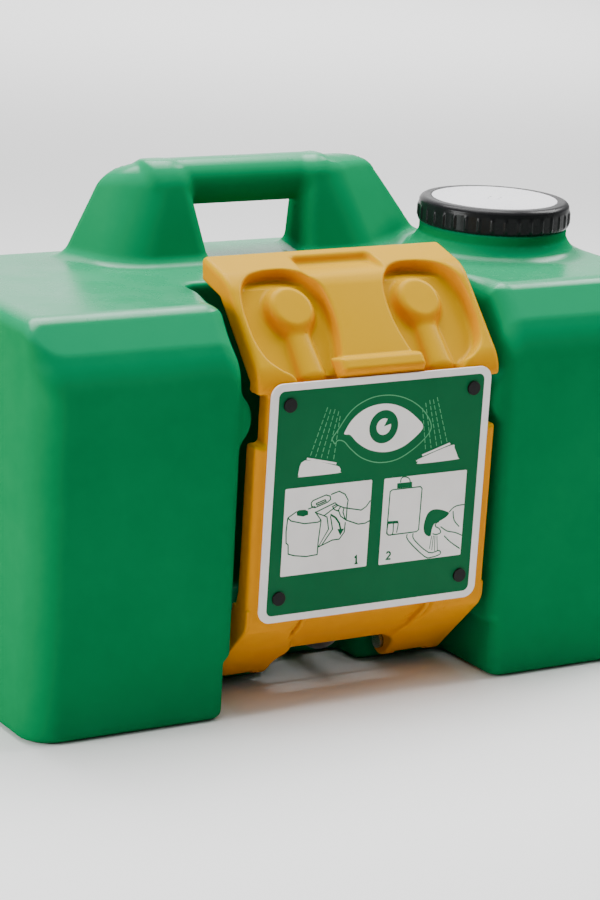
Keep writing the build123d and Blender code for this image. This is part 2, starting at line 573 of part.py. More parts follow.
lab = cyl((0, 0, CAP_TOP - 0.5), (0, 0, 1), LABEL_R, 0.5)
for k in range(4):
    a = math.radians(k * 90)
    lab = lab - cyl((6 * math.cos(a), 6 * math.sin(a), VZ - 2), (0, 0, 1), 1.0, 10)
keep("cap_label", Pos(CAP_X, CAP_Y, 0) * lab)
vv = cyl((0, 0, VZ), (0, 0, 1), 1.8, 2.4) + cyl((0, 0, VZ - 1.4), (0, 0, 1), 9.0, 1.4) + cyl((0, 0, VZ - 2.6), (0, 0, 1), 4.0, 1.2)
keep("vent_valve", Pos(CAP_X, CAP_Y, 0) * vv)
keep("cap_gasket", Pos(CAP_X, CAP_Y, 0) * ring((0, 0, NECK_TOP + 0.1), (0, 0, 1), NECK_R - 0.2, NECK_ID - 1.5, 1.9))

for name, shape in HERE.items():
    export_step(shape, "parts/" + name + ".step")
print(len(HERE), "nodes")
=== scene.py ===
import bpy, bmesh, math
import numpy as np
from mathutils import Matrix, Vector


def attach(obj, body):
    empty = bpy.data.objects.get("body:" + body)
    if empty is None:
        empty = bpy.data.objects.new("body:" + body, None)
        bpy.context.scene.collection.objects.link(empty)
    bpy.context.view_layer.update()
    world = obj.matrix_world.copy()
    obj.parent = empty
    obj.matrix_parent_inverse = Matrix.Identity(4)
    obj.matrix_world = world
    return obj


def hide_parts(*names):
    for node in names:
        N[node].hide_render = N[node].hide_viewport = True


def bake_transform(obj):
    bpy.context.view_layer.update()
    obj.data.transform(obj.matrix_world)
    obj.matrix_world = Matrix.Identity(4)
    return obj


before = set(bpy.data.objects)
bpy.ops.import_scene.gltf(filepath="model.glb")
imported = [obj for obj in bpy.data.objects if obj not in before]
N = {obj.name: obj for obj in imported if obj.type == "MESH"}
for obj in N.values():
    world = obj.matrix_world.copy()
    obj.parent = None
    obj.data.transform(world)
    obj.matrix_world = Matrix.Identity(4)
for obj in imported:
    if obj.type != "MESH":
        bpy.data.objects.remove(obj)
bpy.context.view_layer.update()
MM = 0.001
F4 = np.float32

# ============================================================== materials
def mat_new(name):
    m = bpy.data.materials.new(name)
    m.use_nodes = True
    nt = m.node_tree
    for n in list(nt.nodes):
        nt.nodes.remove(n)
    out = nt.nodes.new("ShaderNodeOutputMaterial")
    bs = nt.nodes.new("ShaderNodeBsdfPrincipled")
    nt.links.new(bs.outputs[0], out.inputs[0])
    return m, nt, bs


def node(nt, kind, **kw):
    n = nt.nodes.new(kind)
    for k, v in kw.items():
        if k in n.inputs.keys():
            n.inputs[k].default_value = v
        else:
            setattr(n, k, v)
    return n


def noise(nt, scale, detail=2.0, rough=0.5, vec=None):
    n = nt.nodes.new("ShaderNodeTexNoise")
    n.inputs["Scale"].default_value = scale
    n.inputs["Detail"].default_value = detail
    n.inputs["Roughness"].default_value = rough
    if vec is not None:
        nt.links.new(vec, n.inputs["Vector"])
    return n


def ramp(nt, fac, stops):
    r = nt.nodes.new("ShaderNodeValToRGB")
    r.color_ramp.elements[0].position = stops[0][0]
    r.color_ramp.elements[0].color = (*stops[0][1], 1)
    r.color_ramp.elements[1].position = stops[-1][0]
    r.color_ramp.elements[1].color = (*stops[-1][1], 1)
    for p, c in stops[1:-1]:
        e = r.color_ramp.elements.new(p)
        e.color = (*c, 1)
    nt.links.new(fac, r.inputs[0])
    return r


def maprange(nt, val, a, b, lo, hi):
    m = nt.nodes.new("ShaderNodeMapRange")
    m.inputs["From Min"].default_value = a
    m.inputs["From Max"].default_value = b
    m.inputs["To Min"].default_value = lo
    m.inputs["To Max"].default_value = hi
    nt.links.new(val, m.inputs["Value"])
    return m


def bump(nt, bs, layers):
    """Chained bumps: (height socket, strength, distance in metres)."""
    prev = None
    for h, st, dist in layers:
        b = nt.nodes.new("ShaderNodeBump")
        b.inputs["Strength"].default_value = st
        b.inputs["Distance"].default_value = dist
        nt.links.new(h, b.inputs["Height"])
        if prev is not None:
            nt.links.new(prev.outputs[0], b.inputs["Normal"])
        prev = b
    nt.links.new(prev.outputs[0], bs.inputs["Normal"])


def obj_coord(nt):
    return nt.nodes.new("ShaderNodeTexCoord").outputs["Object"]


def moulded(name, base, dark, light, rough=(0.25, 0.4), coat=0.0, spec=0.5, peel=900.0, peel_d=0.00006, wave_d=0.0006, sss=0.0, painted_edge_highlight=None, top=None):
    """Glossy moulded plastic: slight colour drift, orange peel, shallow sink waves, faint scuffs; optional painted
    light: upward faces blended towards a lighter colour and a painted highlight on convex edges.
    """
    m, nt, bs = mat_new(name)
    co = obj_coord(nt)
    big = noise(nt, 9.0, 3.0, 0.5, co)
    mid = noise(nt, 60.0, 4.0, 0.55, co)
    mix = nt.nodes.new("ShaderNodeMath")
    mix.operation = "MULTIPLY_ADD"
    nt.links.new(mid.outputs["Fac"], mix.inputs[0])
    mix.inputs[1].default_value = 0.45
    nt.links.new(big.outputs["Fac"], mix.inputs[2])
    cr = ramp(nt, mix.outputs[0], [(0.45, dark), (0.72, base), (1.0, light)])
    col = cr.outputs[0]
    # top: painted light, upward-facing faces blended towards a lighter colour as if lit from above
    if top is not None:
        tn = nt.nodes.new("ShaderNodeSeparateXYZ")
        nt.links.new(nt.nodes.new("ShaderNodeTexCoord").outputs["Normal"], tn.inputs[0])
        painted_top_light_fac = maprange(nt, tn.outputs[2], top[3], top[4], 0.0, 0.92)
        painted_top_light_mix = nt.nodes.new("ShaderNodeMix")
        painted_top_light_mix.data_type = "RGBA"
        nt.links.new(painted_top_light_fac.outputs[0], painted_top_light_mix.inputs["Factor"])
        nt.links.new(col, painted_top_light_mix.inputs["A"])
        painted_top_light_mix.inputs["B"].default_value = (top[0], top[1], top[2], 1)
        col = painted_top_light_mix.outputs["Result"]
    # painted highlight: convex edges (pointiness), broken up by noise, blended towards a lighter colour
    if painted_edge_highlight is not None:
        geo = nt.nodes.new("ShaderNodeNewGeometry")
        wn = noise(nt, 140.0, 5.0, 0.6, co)
        pt = maprange(nt, geo.outputs["Pointiness"], 0.52, 0.60, 0.0, 1.0)
        painted_edge_highlight_mask = nt.nodes.new("ShaderNodeMath")
        painted_edge_highlight_mask.operation = "MULTIPLY"
        nt.links.new(pt.outputs[0], painted_edge_highlight_mask.inputs[0])
        wr = maprange(nt, wn.outputs["Fac"], 0.45, 0.75, 0.0, painted_edge_highlight[3])
        nt.links.new(wr.outputs[0], painted_edge_highlight_mask.inputs[1])
        mx = nt.nodes.new("ShaderNodeMix")
        mx.data_type = "RGBA"
        nt.links.new(painted_edge_highlight_mask.outputs[0], mx.inputs["Factor"])
        nt.links.new(col, mx.inputs["A"])
        mx.inputs["B"].default_value = (painted_edge_highlight[0], painted_edge_highlight[1], painted_edge_highlight[2], 1)
        col = mx.outputs["Result"]
    nt.links.new(col, bs.inputs["Base Color"])
    sc = noise(nt, 22.0, 6.0, 0.62, co)
    rr = maprange(nt, sc.outputs["Fac"], 0.35, 0.7, rough[0], rough[1])
    nt.links.new(rr.outputs[0], bs.inputs["Roughness"])
    if np.isscalar(spec):
        bs.inputs["Specular IOR Level"].default_value = spec
    else:
        nn = nt.nodes.new("ShaderNodeSeparateXYZ")
        nt.links.new(nt.nodes.new("ShaderNodeTexCoord").outputs["Normal"], nn.inputs[0])
        up_ = maprange(nt, nn.outputs[2], 0.72, 0.98, spec[0], spec[1])
        nt.links.new(up_.outputs[0], bs.inputs["Specular IOR Level"])
    if coat:
        bs.inputs["Coat Weight"].default_value = coat
        bs.inputs["Coat Roughness"].default_value = 0.18
    if sss:
        bs.inputs["Subsurface Weight"].default_value = sss
        bs.inputs["Subsurface Radius"].default_value = (0.004, 0.004, 0.002)
        bs.inputs["Subsurface Scale"].default_value = 1.0
    pl = noise(nt, peel, 3.0, 0.6, co)
    wv = noise(nt, 11.0, 2.0, 0.4, co)
    gr = noise(nt, 220.0, 3.0, 0.55, co)
    bump(nt, bs, [(wv.outputs["Fac"], 0.6, wave_d), (gr.outputs["Fac"], 0.35, 0.00010), (pl.outputs["Fac"], 0.5, peel_d)])
    return m


def metal(name, col, rough=(0.22, 0.38), axis_scale=(1, 1, 40)):
    m, nt, bs = mat_new(name)
    co = obj_coord(nt)
    mp = nt.nodes.new("ShaderNodeMapping")
    mp.inputs["Scale"].default_value = axis_scale
    nt.links.new(co, mp.inputs["Vector"])
    n = noise(nt, 120.0, 4.0, 0.6, mp.outputs[0])
    n2 = noise(nt, 35.0, 3.0, 0.5, co)
    cr = ramp(nt, n2.outputs["Fac"], [(0.3, tuple(c * 0.86 for c in col)), (0.7, col)])
    nt.links.new(cr.outputs[0], bs.inputs["Base Color"])
    bs.inputs["Metallic"].default_value = 1.0
    rr = maprange(nt, n.outputs["Fac"], 0.3, 0.7, rough[0], rough[1])
    nt.links.new(rr.outputs[0], bs.inputs["Roughness"])
    bump(nt, bs, [(n.outputs["Fac"], 0.25, 0.00003)])
    return m


M = {}
# the top colours below are painted light on upward faces; the edge colours are painted highlights on convex edges
M["green"] = moulded("tank_green", (0.003, 0.172, 0.054), (0.002, 0.158, 0.049), (0.004, 0.186, 0.060), rough=(0.22, 0.34), spec=(0.0, 0.60), top=(0.001, 0.250, 0.105, 0.20, 0.80), painted_edge_highlight=(0.03, 0.33, 0.15, 0.4))
M["yellow"] = moulded("arm_yellow", (0.62, 0.235, 0.0), (0.58, 0.215, 0.0), (0.66, 0.255, 0.0), rough=(0.26, 0.40), spec=(0.03, 0.06), top=(0.50, 0.282, 0.0, 0.12, 0.66), painted_edge_highlight=(0.80, 0.38, 0.005, 0.4), wave_d=0.0004)
M["cap"] = moulded("cap_black", (0.010, 0.010, 0.011), (0.007, 0.007, 0.008), (0.016, 0.016, 0.018), rough=(0.22, 0.36), spec=0.13, painted_edge_highlight=(0.05, 0.05, 0.055, 0.4), wave_d=0.0002)
M["nylon_black"] = moulded("nylon_black", (0.020, 0.020, 0.022), (0.014, 0.014, 0.015), (0.03, 0.03, 0.033), rough=(0.40, 0.58), spec=0.45, wave_d=0.0001)
M["nylon_white"] = moulded("nylon_white", (0.78, 0.76, 0.70), (0.72, 0.70, 0.63), (0.83, 0.82, 0.77), rough=(0.38, 0.55), spec=0.45, wave_d=0.0001)
M["head"] = moulded("head_green", (0.010, 0.22, 0.09), (0.008, 0.18, 0.075), (0.014, 0.26, 0.11), rough=(0.25, 0.4), wave_d=0.0001)
M["face"] = moulded("face_white", (0.80, 0.80, 0.77), (0.74, 0.74, 0.70), (0.85, 0.85, 0.83), rough=(0.25, 0.4), wave_d=0.0001)
M["hose"] = moulded("hose_grey", (0.060, 0.062, 0.060), (0.045, 0.047, 0.045), (0.075, 0.078, 0.075), rough=(0.35, 0.5), spec=0.25, wave_d=0.0002)
M["rubber"] = moulded("rubber_black", (0.018, 0.018, 0.018), (0.012, 0.012, 0.012), (0.028, 0.028, 0.028), rough=(0.6, 0.8), spec=0.3, wave_d=0.0001)
M["rivet"] = moulded("rivet_black", (0.006, 0.006, 0.006), (0.004, 0.004, 0.004), (0.011, 0.011, 0.011), rough=(0.38, 0.55), spec=0.12, wave_d=0.0001)
M["steel"] = metal("stainless", (0.62, 0.62, 0.60))
M["steel_dark"] = metal("blackened_steel", (0.035, 0.035, 0.037), rough=(0.35, 0.5))
M["brass"] = metal("brass", (0.62, 0.42, 0.14), rough=(0.25, 0.42))
M["sign_white"] = moulded("sign_white", (0.80, 0.765, 0.74), (0.74, 0.70, 0.67), (0.84, 0.81, 0.78), rough=(0.35, 0.48), spec=0.3, peel=1500, peel_d=0.00002, wave_d=0.0004)
M["sign_green"] = moulded("sign_green", (0.002, 0.105, 0.034), (0.0015, 0.095, 0.03), (0.003, 0.115, 0.038), rough=(0.34, 0.46), spec=0.06, peel=1500, peel_d=0.00002, wave_d=0.0004)
M["sign_line"] = moulded("sign_line", (0.05, 0.33, 0.13), (0.04, 0.29, 0.11), (0.07, 0.38, 0.16), rough=(0.35, 0.48), spec=0.3, wave_d=0.0002)

# label: pale grey with fine darker speckle
m, nt, bs = mat_new("label_grey")
co = obj_coord(nt)
vo = nt.nodes.new("ShaderNodeTexVoronoi")
vo.inputs["Scale"].default_value = 420.0
nt.links.new(co, vo.inputs["Vector"])
sp = ramp(nt, vo.outputs["Distance"], [(0.10, (0.20, 0.20, 0.23)), (0.28, (0.60, 0.60, 0.62))])
n2 = noise(nt, 30.0, 3, 0.5, co)
mx = nt.nodes.new("ShaderNodeMix")
mx.data_type = "RGBA"
f2 = maprange(nt, n2.outputs["Fac"], 0.40, 0.62, 0.0, 0.6)
nt.links.new(f2.outputs[0], mx.inputs["Factor"])
nt.links.new(sp.outputs[0], mx.inputs["A"])
mx.inputs["B"].default_value = (0.62, 0.62, 0.64, 1)
nt.links.new(mx.outputs["Result"], bs.inputs["Base Color"])
bs.inputs["Roughness"].default_value = 0.55
bump(nt, bs, [(vo.outputs["Distance"], 0.4, 0.00015)])
M["label"] = m

# ============================================================== field tools
def smax(a, b, r):
    """Intersection with a rounded edge of radius r."""
    if np.isscalar(r) and r <= 0:
        return np.maximum(a, b)
    u = np.maximum(a + r, 0)
    v = np.maximum(b + r, 0)
    return np.minimum(-r, np.maximum(a, b)) + np.sqrt(u * u + v * v)


def smin(a, b, r):
    """Union with a fillet of radius r."""
    if np.isscalar(r) and r <= 0:
        return np.minimum(a, b)
    return -smax(-a, -b, r)


def pmin(a, b, k):
    """Soft union."""
    h = np.clip(0.5 + 0.5 * (b - a) / k, 0, 1)
    return b * (1 - h) + a * h - k * h * (1 - h)


def sstep(x, a, b):
    t = np.clip((x - a) / (b - a), 0, 1)
    return t * t * (3 - 2 * t)


def rrect(x, y, hx, hy, r):
    """2-D rounded rectangle about the origin."""
    qx = np.abs(x) - hx + r
    qy = np.abs(y) - hy + r
    return np.minimum(np.maximum(qx, qy), 0) + np.hypot(np.maximum(qx, 0), np.maximum(qy, 0)) - r


def cyl_x(x, y, z, x0, x1, cy, cz, r, e):
    return smax(np.hypot(y - cy, z - cz) - r, np.abs(x - (x0 + x1) / 2) - abs(x1 - x0) / 2, e)


def cyl_y(x, y, z, y0, y1, cx, cz, r, e):
    return smax(np.hypot(x - cx, z - cz) - r, np.abs(y - (y0 + y1) / 2) - abs(y1 - y0) / 2, e)


def poly_sdf_table(pts, x0, x1, y0, y1, st):
    """Signed distance table of a closed polygon, negative inside."""
    gx = np.arange(x0, x1 + st, st)
    gy = np.arange(y0, y1 + st, st)
    X, Y = np.meshgrid(gx, gy, indexing="ij")
    P = np.stack([X.ravel(), Y.ravel()], 1)
    a = np.array(pts, float)
    b = np.roll(a, -1, 0)
    best = np.full(len(P), 1e9)
    inside = np.zeros(len(P), bool)
    for p, q in zip(a, b):
        d = q - p
        t = np.clip(((P - p) @ d) / (d @ d), 0, 1)
        e = P - p - t[:, None] * d
        best = np.minimum(best, (e * e).sum(1))
        cond = (p[1] > P[:, 1]) != (q[1] > P[:, 1])
        with np.errstate(divide="ignore", invalid="ignore"):
            xi = (q[0] - p[0]) * (P[:, 1] - p[1]) / (q[1] - p[1]) + p[0]
        inside ^= cond & (P[:, 0] < xi)
    s = np.sqrt(best) * np.where(inside, -1, 1)
    return s.reshape(X.shape).astype(F4), x0, y0, st


def table_at(tab, x, y):
    T, x0, y0, st = tab
    u = np.clip((x - x0) / st, 0, T.shape[0] - 1.001)
    v = np.clip((y - y0) / st, 0, T.shape[1] - 1.001)
    i = u.astype(np.int32)
    j = v.astype(np.int32)
    fu = u - i
    fv = v - j
    return (T[i, j] * (1 - fu) + T[i + 1, j] * fu) * (1 - fv) + (T[i, j + 1] * (1 - fu) + T[i + 1, j + 1] * fu) * fv


def catmull(pts, n=8, closed=True):
    p = np.array(pts, float)
    out = []
    m = len(p)
    rng = range(m) if closed else range(m - 1)
    for i in rng:
        if closed:
            a, b, c, d = p[(i - 1) % m], p[i], p[(i + 1) % m], p[(i + 2) % m]
        else:
            a, b, c, d = p[max(i - 1, 0)], p[i], p[i + 1], p[min(i + 2, m - 1)]
        for k in range(n):
            t = k / n
            out.append(0.5 * ((2 * b) + (-a + c) * t + (2 * a - 5 * b + 4 * c - d) * t * t + (-a + 3 * b - 3 * c + d) * t ** 3))
    if not closed:
        out.append(p[-1])
    return np.array(out)


def surface_nets(field, lo, hi, h, refine=2, chunk=24):
    """Quad mesh of field = 0 over a box, in millimetres; field takes x, y, z arrays."""
    n = [int(math.ceil((hi[i] - lo[i]) / h)) + 1 for i in range(3)]
    ax = [(lo[i] + h * np.arange(n[i])).astype(F4) for i in range(3)]
    V = np.empty(n, F4)
    for s in range(0, n[0], chunk):
        e = min(s + chunk, n[0])
        X, Y, Z = np.meshgrid(ax[0][s:e], ax[1], ax[2], indexing="ij")
        V[s:e] = field(X, Y, Z)
    I = V < 0
    c = np.zeros([k - 1 for k in n], np.uint8)
    for dx in (0, 1):
        for dy in (0, 1):
            for dz in (0, 1):
                c += I[dx:n[0] - 1 + dx, dy:n[1] - 1 + dy, dz:n[2] - 1 + dz]
    act = np.argwhere((c > 0) & (c < 8))
    idx = np.full(c.shape, -1, np.int32)
    idx[act[:, 0], act[:, 1], act[:, 2]] = np.arange(len(act))
    corners = np.array([(dx, dy, dz) for dx in (0, 1) for dy in (0, 1) for dz in (0, 1)])
    val = np.stack([V[act[:, 0] + a, act[:, 1] + b, act[:, 2] + d] for a, b, d in corners], 1)
    acc = np.zeros((len(act), 3))
    cnt = np.zeros(len(act))
    for p in range(8):
        for q in range(p + 1, 8):
            if np.abs(corners[p] - corners[q]).sum() != 1:
                continue
            a, b = val[:, p], val[:, q]
            m = (a < 0) != (b < 0)
            t = np.where(m, a / np.where(m, a - b, 1), 0)
            acc += np.where(m[:, None], corners[p] + t[:, None] * (corners[q] - corners[p]), 0)
            cnt += m
    co = np.array(lo) + h * (act + acc / cnt[:, None])
    quads = []
    for axis in range(3):
        o = [a for a in range(3) if a != axis]
        sl0 = [slice(None)] * 3
        sl1 = [slice(None)] * 3
        sl0[axis] = slice(0, n[axis] - 1)
        sl1[axis] = slice(1, n[axis])
        ch = I[tuple(sl0)] != I[tuple(sl1)]
        e = np.argwhere(ch)
        ok = (e[:, o[0]] > 0) & (e[:, o[0]] < n[o[0]] - 1) & (e[:, o[1]] > 0) & (e[:, o[1]] < n[o[1]] - 1)
        e = e[ok]
        fl = I[tuple(sl0)][e[:, 0], e[:, 1], e[:, 2]]
        def at(d0, d1):
            k = e.copy()
            k[:, o[0]] += d0
            k[:, o[1]] += d1
            return idx[k[:, 0], k[:, 1], k[:, 2]]
        q = np.stack([at(-1, -1), at(0, -1), at(0, 0), at(-1, 0)], 1)
        flip = fl if axis != 1 else ~fl
        q[~flip] = q[~flip][:, ::-1]
        quads.append(q)
    quads = np.concatenate(quads)
    for _ in range(refine):
        x, y, z = [co[:, k].astype(F4) for k in range(3)]
        f0 = field(x, y, z).astype(float)
        e = 0.25
        g = np.stack([(field(x + e, y, z) - field(x - e, y, z)), (field(x, y + e, z) - field(x, y - e, z)), (field(x, y, z + e) - field(x, y, z - e))], 1).astype(float) / (2 * e)
        gg = np.maximum((g * g).sum(1), 0.3)
        step = -(f0 / gg)[:, None] * g
        ln = np.linalg.norm(step, axis=1)
        k = np.minimum(1, 0.45 * h / np.maximum(ln, 1e-9))
        co = co + step * k[:, None]
    return co, quads


def mesh_from(name, co, faces, mat, smooth=True):
    me = bpy.data.meshes.new(name)
    nv, nf = len(co), len(faces)
    me.vertices.add(nv)
    me.vertices.foreach_set("co", (np.asarray(co) * MM).astype(F4).ravel())
    me.loops.add(nf * 4)
    me.loops.foreach_set("vertex_index", np.asarray(faces, np.int32).ravel())
    me.polygons.add(nf)
    me.polygons.foreach_set("loop_start", np.arange(0, nf * 4, 4, dtype=np.int32))
    me.polygons.foreach_set("loop_total", np.full(nf, 4, np.int32))
    me.update(calc_edges=True)
    me.validate()
    me.polygons.foreach_set("use_smooth", np.ones(nf, bool) if smooth else np.zeros(nf, bool))
    me.materials.append(mat)
    ob = bpy.data.objects.new(name, me)
    bpy.context.scene.collection.objects.link(ob)
    return ob


# ============================================================== tank
W2, D2, DECK = 284.8, 126.0, 314.0
WALL = 3.5
HX, BY, BZ, BR = -8.0, 78.2, 373.3, 18.8
CX, CY = 201.5, 30.2
BUMP_Z, BUMP_R = 231.5, 23.0


def tank_outer(x, y, z, t=0.0):
    """Blow-moulded outer surface, inset by t."""
    ax = np.abs(x)
    body = rrect(x, y + 0.9, W2 - 0.1 - t, D2 + 0.8 - t, 26.0 - t)
    top = z - (DECK - t)
    body = smax(body, top, 15.0 - t - 5.0 * sstep(y, 40.0, 90.0))
    ch = (-0.7225) * (y + 94.0) + 0.6914 * (z - 314.0) + t
    body = smax(body, ch, 5.0 + 10.0 * (1 - sstep(z, 284.0, 306.0)))
    # front recess, a little wider under the arm's legs
    wx = 114.8 + 0.015 * (-y - 20) + 5.0 * (1 - sstep(z, 43.0, 51.0)) + 3.0 * sstep(-y, 70.0, 118.0) * sstep(z, 262.0, 300.0)
    rec = smax(ax - wx - t, y - (-18.5 + t), 10.0 + t)
    near_ = sstep(-y, 40.0, 80.0)
    body = smax(body, -rec, 11.0 - t + 7.0 * sstep(z, 245.0, 285.0) * near_ - 6.0 * sstep(z, 285.0, 303.0) * (1 - near_))
    # foot blocks behind the arm's legs
    blk = smax(smax(smax(np.abs(ax - 88.5) - 47.5 + t, -50.0 + t - y, 10.0 - t), y + 8, 1), z - 62 + t + 0.25 * (-y - 34), 8.0 - t)
    body = smin(body, blk, 5.0)
    body = smax(body, t - z, 7.0 - 0.5 * t)
    # handle legs
    k = (z - 314.0)
    frnt = ((36.0 + 0.301 * k) - y + t) * 0.958
    back = y - (103.0 - 0.05 * k) + t
    yy = y - 36.0
    li = -(-58.5 - 0.17 * (z - 330.0) - 0.05 * yy - x) + t
    lo = (-138.0 - 0.34 * yy + 0.46 * k) - x + t
    lo = lo * 0.88
    rin = (28.5 + 0.06 * (z - 330.0) + 0.25 * yy) - x + t
    rout = (0.60 * (x - 87.5) - 0.80 * (y - 36.0) + 0.457 * k) * 0.909 + t
    left = smax(smax(frnt, lo, 26.0), li, 13.0)
    left = smax(left, back, 8.0)
    right = smax(smax(frnt, rout, 9.0), rin, 12.0)
    right = smax(right, back, 4.0)
    cap_l = (z - 390.2 + 0.16 * np.maximum(y - 74.0, 0)) * 0.98 + t
    left = smax(left, cap_l, 18.0)
    right = smax(right, cap_l, 12.0)
    leg = smax(np.minimum(left, right), 300 - z, 1)
    bar = smax(np.hypot(y - BY, z - BZ) - BR + t, np.abs(x + 22.0) - 80.0, 4.0)
    hd = smax(smin(leg, bar, 6.0), z - 392.0 + t, 0.6)
    body = smin(body, hd, 9.0)
    # filler mound and neck
    rr = np.hypot(x - CX, y - CY)
    mound = smax(smax(rr - 60.4, z - 326.5, 1.5), 285.0 - z, 1.0)
    body = smin(body, mound, 19.0)
    neck = smax(rr - 54.0, z - 350.2, 1.5)
    ring = smax(rr - 60.6, z - 335.2, 0.8)
    body = np.minimum(body, smax(np.minimum(neck, ring), 285.0 - z, 1.0))
    # snap bumps
    bp = smax(np.hypot(ax - (106.6 + BUMP_R), z - BUMP_Z) - BUMP_R + t, np.abs(y + 113.5) - 8.0 + t, 4.0)
    body = smin(body, bp, 4.0)
    return body


def tank_field(x, y, z):
    o = tank_outer(x, y, z)
    f = smax(o, -(o + 10.0), 0.8)
    # the neck is bored right through into the body
    bore = np.maximum(np.hypot(x - CX, y - CY) - 50.0, 306.0 - z)
    f = smax(f, -bore, 0.6)
    # outlet hole
    hole = np.maximum(np.hypot(x, z - 24.0) - 7.0, np.abs(y + 17) - 6)
    f = np.maximum(f, -hole)
    # bosses for the bracket inserts
    for bx in (70.0, 90.0):
        d = np.hypot(np.abs(x) - bx, z - 50.0)
        bo = np.maximum(d - 7.5, np.abs(y + 41.2) - 7.8)
        f = np.minimum(f, bo)
        f = np.maximum(f, -np.maximum(d - 4.5, np.abs(y + 44.5) - 6.5))
    return f


hstep = 2.2
co, qd = surface_nets(tank_field, (-290, -131, -5), (290, 131, 397), hstep)
tank = mesh_from("tank_shell_skin", co, qd, M["green"])
print("tank", len(co), len(qd))
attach(tank, "tank")
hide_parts("tank_shell")

# ============================================================== arm
A0 = np.array((-31.8, 337.7)); A1 = np.array((-72.0, 327.0)); A2 = np.array((-130.5, 264.0)); A3 = np.array((-127.0, 68.0))
AH = 106.8
ft = (A1 - A2) / np.linalg.norm(A1 - A2)
FL = float(np.linalg.norm(A1 - A2))
f_out = np.array((-ft[1], ft[0]))
gt = (A2 - A3) / np.linalg.norm(A2 - A3)
g_out = np.array((-gt[1], gt[0]))
lt = (A0 - A1) / np.linalg.norm(A0 - A1)
l_out = np.array((-lt[1], lt[0]))
PY, PZ, EYE = -63.0, 21.0, 12.0
SQ = math.sqrt(0.5)

tear_pts = [(36, -22), (35.5, -8), (33, 6), (29, 20), (25.6, 36), (24.6, 50), (25.4, 64), (29, 78), (37, 88.5), (48, 94.5), (60, 96), (74, 94.5), (86, 90), (95, 80.5), (99.3, 66), (100.4, 50), (99.5, 33), (95, 18), (86, 8), (77.5, 3.0), (73.5, -3), (72.5, -10), (72.5, -22)]
tear_tab = poly_sdf_table(catmull(tear_pts, 6), 0, 115, -40, 115, 0.5)


def planes(y, z):
    dl = (y - A1[0]) * l_out[0] + (z - A1[1]) * l_out[1]
    df = (y - A2[0]) * f_out[0] + (z - A2[1]) * f_out[1]
    dg = (y - A3[0]) * g_out[0] + (z - A3[1]) * g_out[1]
    dc = -(y + z + 58.97) * SQ
    return dl, df, dg, dc


def arm_front(x, y, z):
    """Front surface of the tray: the four bent planes and what is moulded into them."""
    ax = np.abs(x)
    dl, df, dg, dc = planes(y, z)
    plain = smax(smax(smax(dl, df, 6.0), dg, 8.0), dc, 5.0)
    d = plain
    D = -plain
    # position along the facet
    s = (y - A2[0]) * ft[0] + (z - A2[1]) * ft[1]
    near = (z > 225) & (D > -14) & (D < 26)
    tr = np.where(near, table_at(tear_tab, ax, s), 30.0)
    # pocket: sloping wall, floor 12 deep
    pocket = smax(tr + 0.22 * D, D - 12.0, 3.0)
    # raised nozzle cover and stem stand on the floor
    rc = np.hypot(ax - 57.0, s - 60.5)
    cover = smax(rc - 17.3 - 0.50 * (D - 2.2), 2.2 - D, 3.5)
    cs = np.clip(s, -20, 60)
    sw = 13.2 - 0.045 * np.clip(s, 0, 40)
    stem_r = np.hypot(ax - 57.0, (D - 15.0) * 1.02) - sw
    stem = smax(stem_r, 4.6 - D, 4.0)
    stem = np.maximum(stem, s - 56)
    stem = np.maximum(stem, -30 - s)
    lol = smin(cover, stem, 5.0)
    pk = smax(pocket, -lol, 2.5)
    d = smax(d, -pk, 2.2)
    # finger scoop on the flange, running out to nothing at the bend
    sl = (y - A1[0]) * lt[0] + (z - A1[1]) * lt[1]
    depth = np.clip(1.0 + 0.20 * (sl + 2.0), 0.0, 8.0)
    scoop = smax(smax(ax - 36.0 - 0.35 * dl, sl - 31.5 - 0.55 * dl, 5.0), -dl - depth, 3.0)
    scoop = np.maximum(scoop, -6 - sl)
    d = smax(d, -scoop, 2.0)
    # lip above the sign
    lo_ = (y - A2[0]) * ft[0] + (z - A2[1]) * ft[1]
    lip = smax(smax(smax(-1.6 - lo_ + 0.15 * df, df - 4.6, 3.0), lo_ - 12.0 + 0.6 * (df - 1.5), 3.0), ax - 37.5 + 0.3 * df, 3.5)
    lip = np.maximum(lip, -df - 6)
    d = smin(d, lip, 1.5)
    # scoop under the sign, between the legs
    sw2 = 61.0 - 13.0 * (1 - sstep(z, 34.0, 60.0))
    low = smax(smax(ax - sw2 + 0.7 * (D - 0.0), D - 4.6, 2.5), z - 78.0, 1.0)
    low = np.where(z < 90, low, 30.0)
    d = smax(d, -low, 2.5)
    return d, plain, D


